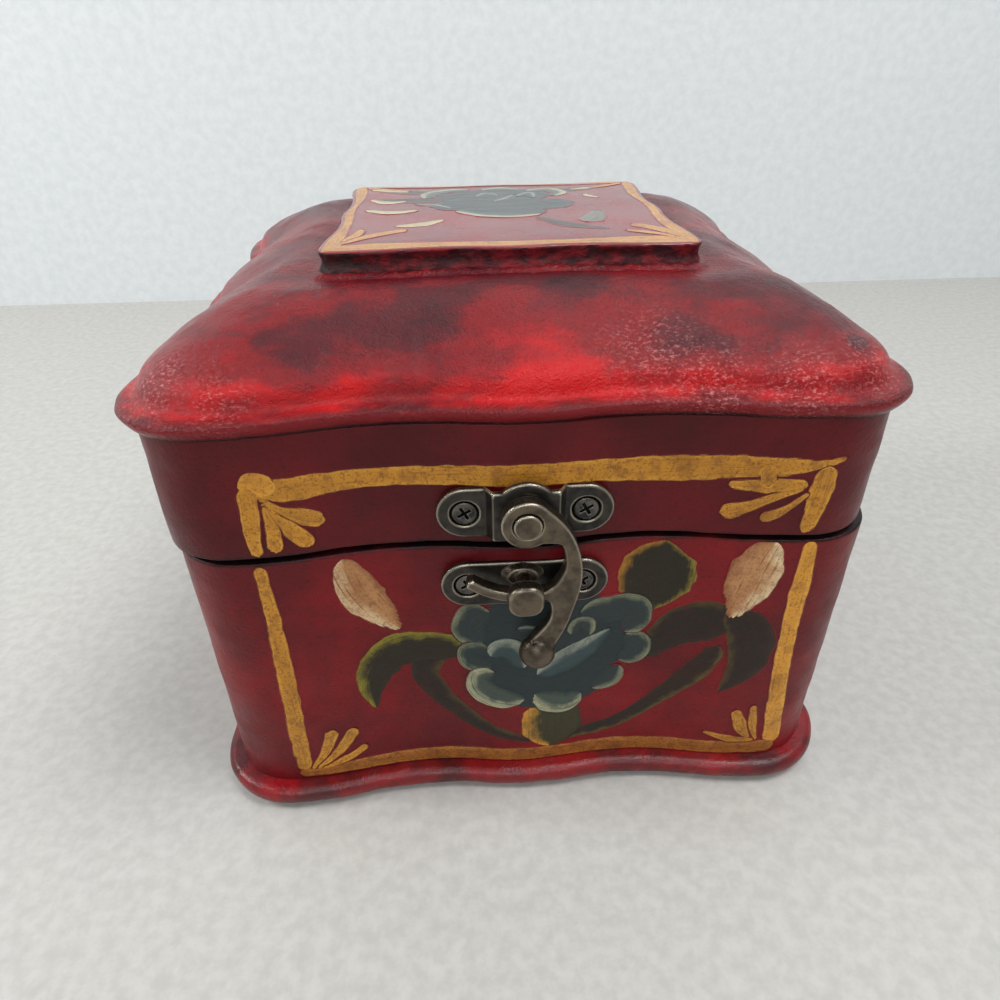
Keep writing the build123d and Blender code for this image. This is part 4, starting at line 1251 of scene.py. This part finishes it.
PANEL_ORNAMENT = [
    ("leaf_dark", [(5.8, -7.7), (10.9, -14.3), (18, -18.6)], (2, 4, 1.6)),
    ("leaf_dark", [(-14, 12), (-21, 12.6), (-28, 14.2)], (5, 5, 1.6)),
    ("leaf_dark", [(-15, 20), (-22, 22.4), (-29, 25.6)], (4, 4.4, 1.4)),
    ("leaf_dark", [(13, 21), (19, 22.6), (23.6, 24.6)], (3, 4, 1.4)),
    ("teal", [(-15, 14), (-2, 17), (11, 16)], (10, 15, 9)),
    ("teal", [(-16, 7), (0, 5), (15, 7)], (8, 15, 8)),
    ("teal", [(-10, 0.4), (0, -2.4), (8, -1.6)], (5, 7, 4)),
    ("petal_light", [(-17.4, 14.6), (-16.4, 20), (-12.6, 23.2), (-7.6, 24)], (2.4, 4.2, 4.2, 2)),
    ("petal_light", [(-4.6, 23.2), (-0.4, 24.6), (4.2, 22.8)], (2, 4, 2)),
    ("petal_light", [(6, 21.2), (11, 22.2), (13.2, 18.8), (11.4, 14.8)], (2, 4, 4.2, 2)),
    ("petal_light", [(6.6, -4.4), (0.8, -5.4), (-4.6, -4.2), (-10.6, 0.2)], (1.8, 3.6, 3.6, 1.8)),
    ("sweep", [(-19.4, 8.2), (-15.4, 6.4), (-12, 3.2)], (1, 2.6, 1)),
    ("sweep", [(-6, 15.4), (-3.4, 18.6), (-1, 16.4)], (1, 2.8, 1)),
    ("sweep", [(-2.4, 9.6), (0.4, 11.8), (2.6, 16.4)], (1, 2.4, 1)),
    ("sweep", [(3.4, 15), (6, 18), (6.8, 13.2)], (1, 2.6, 1)),
    ("cream", [(-21.6, 22.8), (-26, 24.8), (-30.6, 26.6)], (1, 2.6, 1.2)),
    ("cream", [(-21.8, 11.8), (-25.8, 10.8), (-29.8, 14.4)], (1.2, 3, 1.2)),
    ("cream", [(-19, 1.6), (-24.4, 0.2), (-29.8, 2.8)], (1.4, 3.4, 1.4)),
    ("cream", [(-13.4, -8), (-18, -11.6), (-22.6, -12.6)], (1.4, 3.6, 1.4)),
    ("cream", [(16.4, 22), (20, 23), (23.6, 24.8)], (0.8, 1.8, 0.8)),
    ("cream", [(18.6, 16), (19.6, 13.4), (21.2, 11.4)], (0.8, 2, 0.8)),
    ("mist", [(15, -12.6), (17.4, -7.6), (18.6, -2.4)], (5.6, 4.6, 2.4)),
    ("gold", [(-35, -29.4), (-27, -28.4), (-18, -28.4), (0, -29), (18, -28.6),
              (26, -28.2), (33, -29)],
     (3.6, 5, 5, 5, 5, 6, 4.4)),
    ("gold", [(-33.8, -29.4), (-33.2, -12), (-34, 4), (-33, 20), (-33.8, 31)],
     (4.8, 3.6, 3.8, 3.4, 3)),
    ("gold", [(32.4, -29.4), (30.8, -14), (31.8, 2), (30.8, 18), (31.8, 31)],
     (5.2, 3.8, 4, 3.6, 3)),
    ("gold", [(-33.8, 30.4), (-16, 29.4), (0, 30.2), (16, 29.4), (31.8, 30.4)],
     (2, 2.4, 2.2, 2.4, 2)),
    ("gold", [(-31.6, -25.6), (-25.5, -19.2), (-20.4, -15.9)], (1, 2.4, 2.2)),
    ("gold", [(-31.4, -24), (-29.3, -18.4), (-28.7, -14.9)], (0.8, 1.8, 1.4)),
    ("gold", [(30.3, -26.4), (27, -19.6), (23.2, -15.7)], (1, 2.8, 2.6)),
    ("gold", [(28.8, -26.2), (24.8, -22.6), (21.2, -20.5)], (0.8, 1.8, 1.4)),
    ("gold", [(-31.8, 29), (-26.1, 25.8), (-21.9, 23.5)], (0.8, 1.8, 1.2)),
    ("gold", [(29.8, 28.6), (24.8, 25.3), (21.6, 23.6)], (0.8, 1.6, 1)),
]


# Build of the visible pieces
base_span = base_low[2], base_high[2]
lid_span = lid_low[2], lid_high[2]
base_skin = wall_shell("base_skin", "base", BASE_WALLS, base_span, 0.0, "top", 11)
lid_skin = wall_shell("lid_skin", "lid", LID_WALLS, lid_span, LID_SHIFT, "bottom", 21)
plinth_shell()
dome_shell()
panel_skin = panel_shell()
lid_canvas = front_canvas(lid_skin, lid_low[2] + 0.4, lid_high[2] - 0.3)
base_canvas = front_canvas(base_skin, base_low[2] + 0.3, base_high[2] - 0.4)
paint_set("lid_border", lid_canvas, "wall", "lid", LID_BORDER)
paint_set("base_border", base_canvas, "wall", "base", BASE_BORDER)
paint_set("base_flowers", base_canvas, "wall", "base", BASE_FLOWERS)
paint_set("panel_ornament", panel_canvas(panel_skin), "panel", "lid", PANEL_ORNAMENT)
for cast_node, (cast_body, cast_turns) in CAST_FITTINGS.items():
    cast_copy(cast_node, cast_body, cast_turns)

NODE_FINISH = {
    "velvet": "lining",
    "felt": "felt",
    "antique_bronze": "bronze",
    "screw_bronze": "screw",
    "hinge_brass": "brass",
}
for part in frame["record"]["subparts"]:
    finish = NODE_FINISH.get(part["material_slot"])
    if finish:
        node_mesh = frame["nodes"][part["node"]].data
        node_mesh.materials.clear()
        node_mesh.materials.append(MATERIALS[finish])


# Floor, backdrop, light and camera
CAMERA_PLACE = (-10.38, -160.03, 138.48)
CAMERA_YAW = 0.050
CAMERA_PITCH = 0.577
CAMERA_ROLL = -0.014
SENSOR_WIDTH = 36.0
FOCAL_PIXELS = 719.85
PHOTO_PIXELS = 1000
WALL_DISTANCE = 295.0
STAGE_REACH = 3000.0
WORLD_COLOUR = (0.95, 0.97, 1.0, 1.0)
WORLD_STRENGTH = 0.38
# Name, place and aim in metres, size in metres and power in watts of each lamp
LAMPS = (
    ("window", (0.27, -0.12, 0.76), (0.0, 0.0, 0.06), 0.34, 3.7),
    ("left", (-0.63, -0.02, 0.47), (0.0, 0.0, 0.06), 0.20, 2.4),
    ("front", (-0.12, -0.80, 0.62), (0.0, -0.10, 0.0), 0.5, 2.8),
)


def stage_material(name, low, high, size, relief):
    """Pale plaster or stone, almost even."""
    shader = Shader(name)
    patch = shader.noise(size, detail=6.0, rough=0.6)
    colour = shader.mix(shader.ramp(patch, 0.3, 0.7), low, high)
    shader.set(Base_Color=colour, Roughness=0.6, Normal=shader.bump(patch, relief, 0.6))
    return shader.material


def stage_plane(name, corners, material):
    plane = make_object(name, corners, [(0, 1, 2, 3)], smooth=False)
    plane.data.materials.append(material)


def set_stage():
    """Pale floor, and a pale wall some way behind."""
    far, back = STAGE_REACH, WALL_DISTANCE
    stone = stage_material("stage_stone", srgb(180, 179, 174), srgb(193, 192, 187), 3.0, 0.10)
    plaster = stage_material("stage_plaster", srgb(216, 221, 223), srgb(226, 230, 232), 5.0, 0.2)
    floor = [(-far, -far, -0.02), (far, -far, -0.02), (far, far, -0.02), (-far, far, -0.02)]
    stage_plane("stage_floor", floor, stone)
    wall = [(-far, back, -1), (far, back, -1), (far, back, far), (-far, back, far)]
    stage_plane("stage_wall", wall, plaster)


def set_light():
    """Soft daylight from above, and an even fill."""
    world = bpy.data.worlds.new("daylight")
    bpy.context.scene.world = world
    world.use_nodes = True
    background = world.node_tree.nodes["Background"]
    background.inputs["Color"].default_value = WORLD_COLOUR
    background.inputs["Strength"].default_value = WORLD_STRENGTH
    for name, place, aim, size, power in LAMPS:
        light = bpy.data.lights.new(name, "AREA")
        light.size = size
        light.energy = power
        lamp = bpy.data.objects.new(name, light)
        lamp.location = place
        lamp.rotation_euler = (Vector(aim) - Vector(place)).to_track_quat("-Z", "Y").to_euler()
        bpy.context.scene.collection.objects.link(lamp)


def set_camera():
    """Camera at the photograph's place and angle."""
    sy, cy = math.sin(CAMERA_YAW), math.cos(CAMERA_YAW)
    sp, cp = math.sin(CAMERA_PITCH), math.cos(CAMERA_PITCH)
    forward = Vector((sy * cp, cy * cp, -sp))
    right = Vector((cy, -sy, 0.0))
    up = right.cross(forward)
    rolled_right = math.cos(CAMERA_ROLL) * right + math.sin(CAMERA_ROLL) * up
    rolled_up = -math.sin(CAMERA_ROLL) * right + math.cos(CAMERA_ROLL) * up
    data = bpy.data.cameras.new("camera")
    data.sensor_width = SENSOR_WIDTH
    data.lens = SENSOR_WIDTH * FOCAL_PIXELS / PHOTO_PIXELS
    data.clip_start = 0.005
    camera = bpy.data.objects.new("camera", data)
    turn = Matrix((rolled_right, rolled_up, -forward)).transposed().to_4x4()
    camera.matrix_world = Matrix.Translation(Vector(CAMERA_PLACE) * MM) @ turn
    bpy.context.scene.collection.objects.link(camera)
    bpy.context.scene.camera = camera


set_stage()
set_light()
set_camera()
bpy.context.scene.view_settings.view_transform = "Standard"
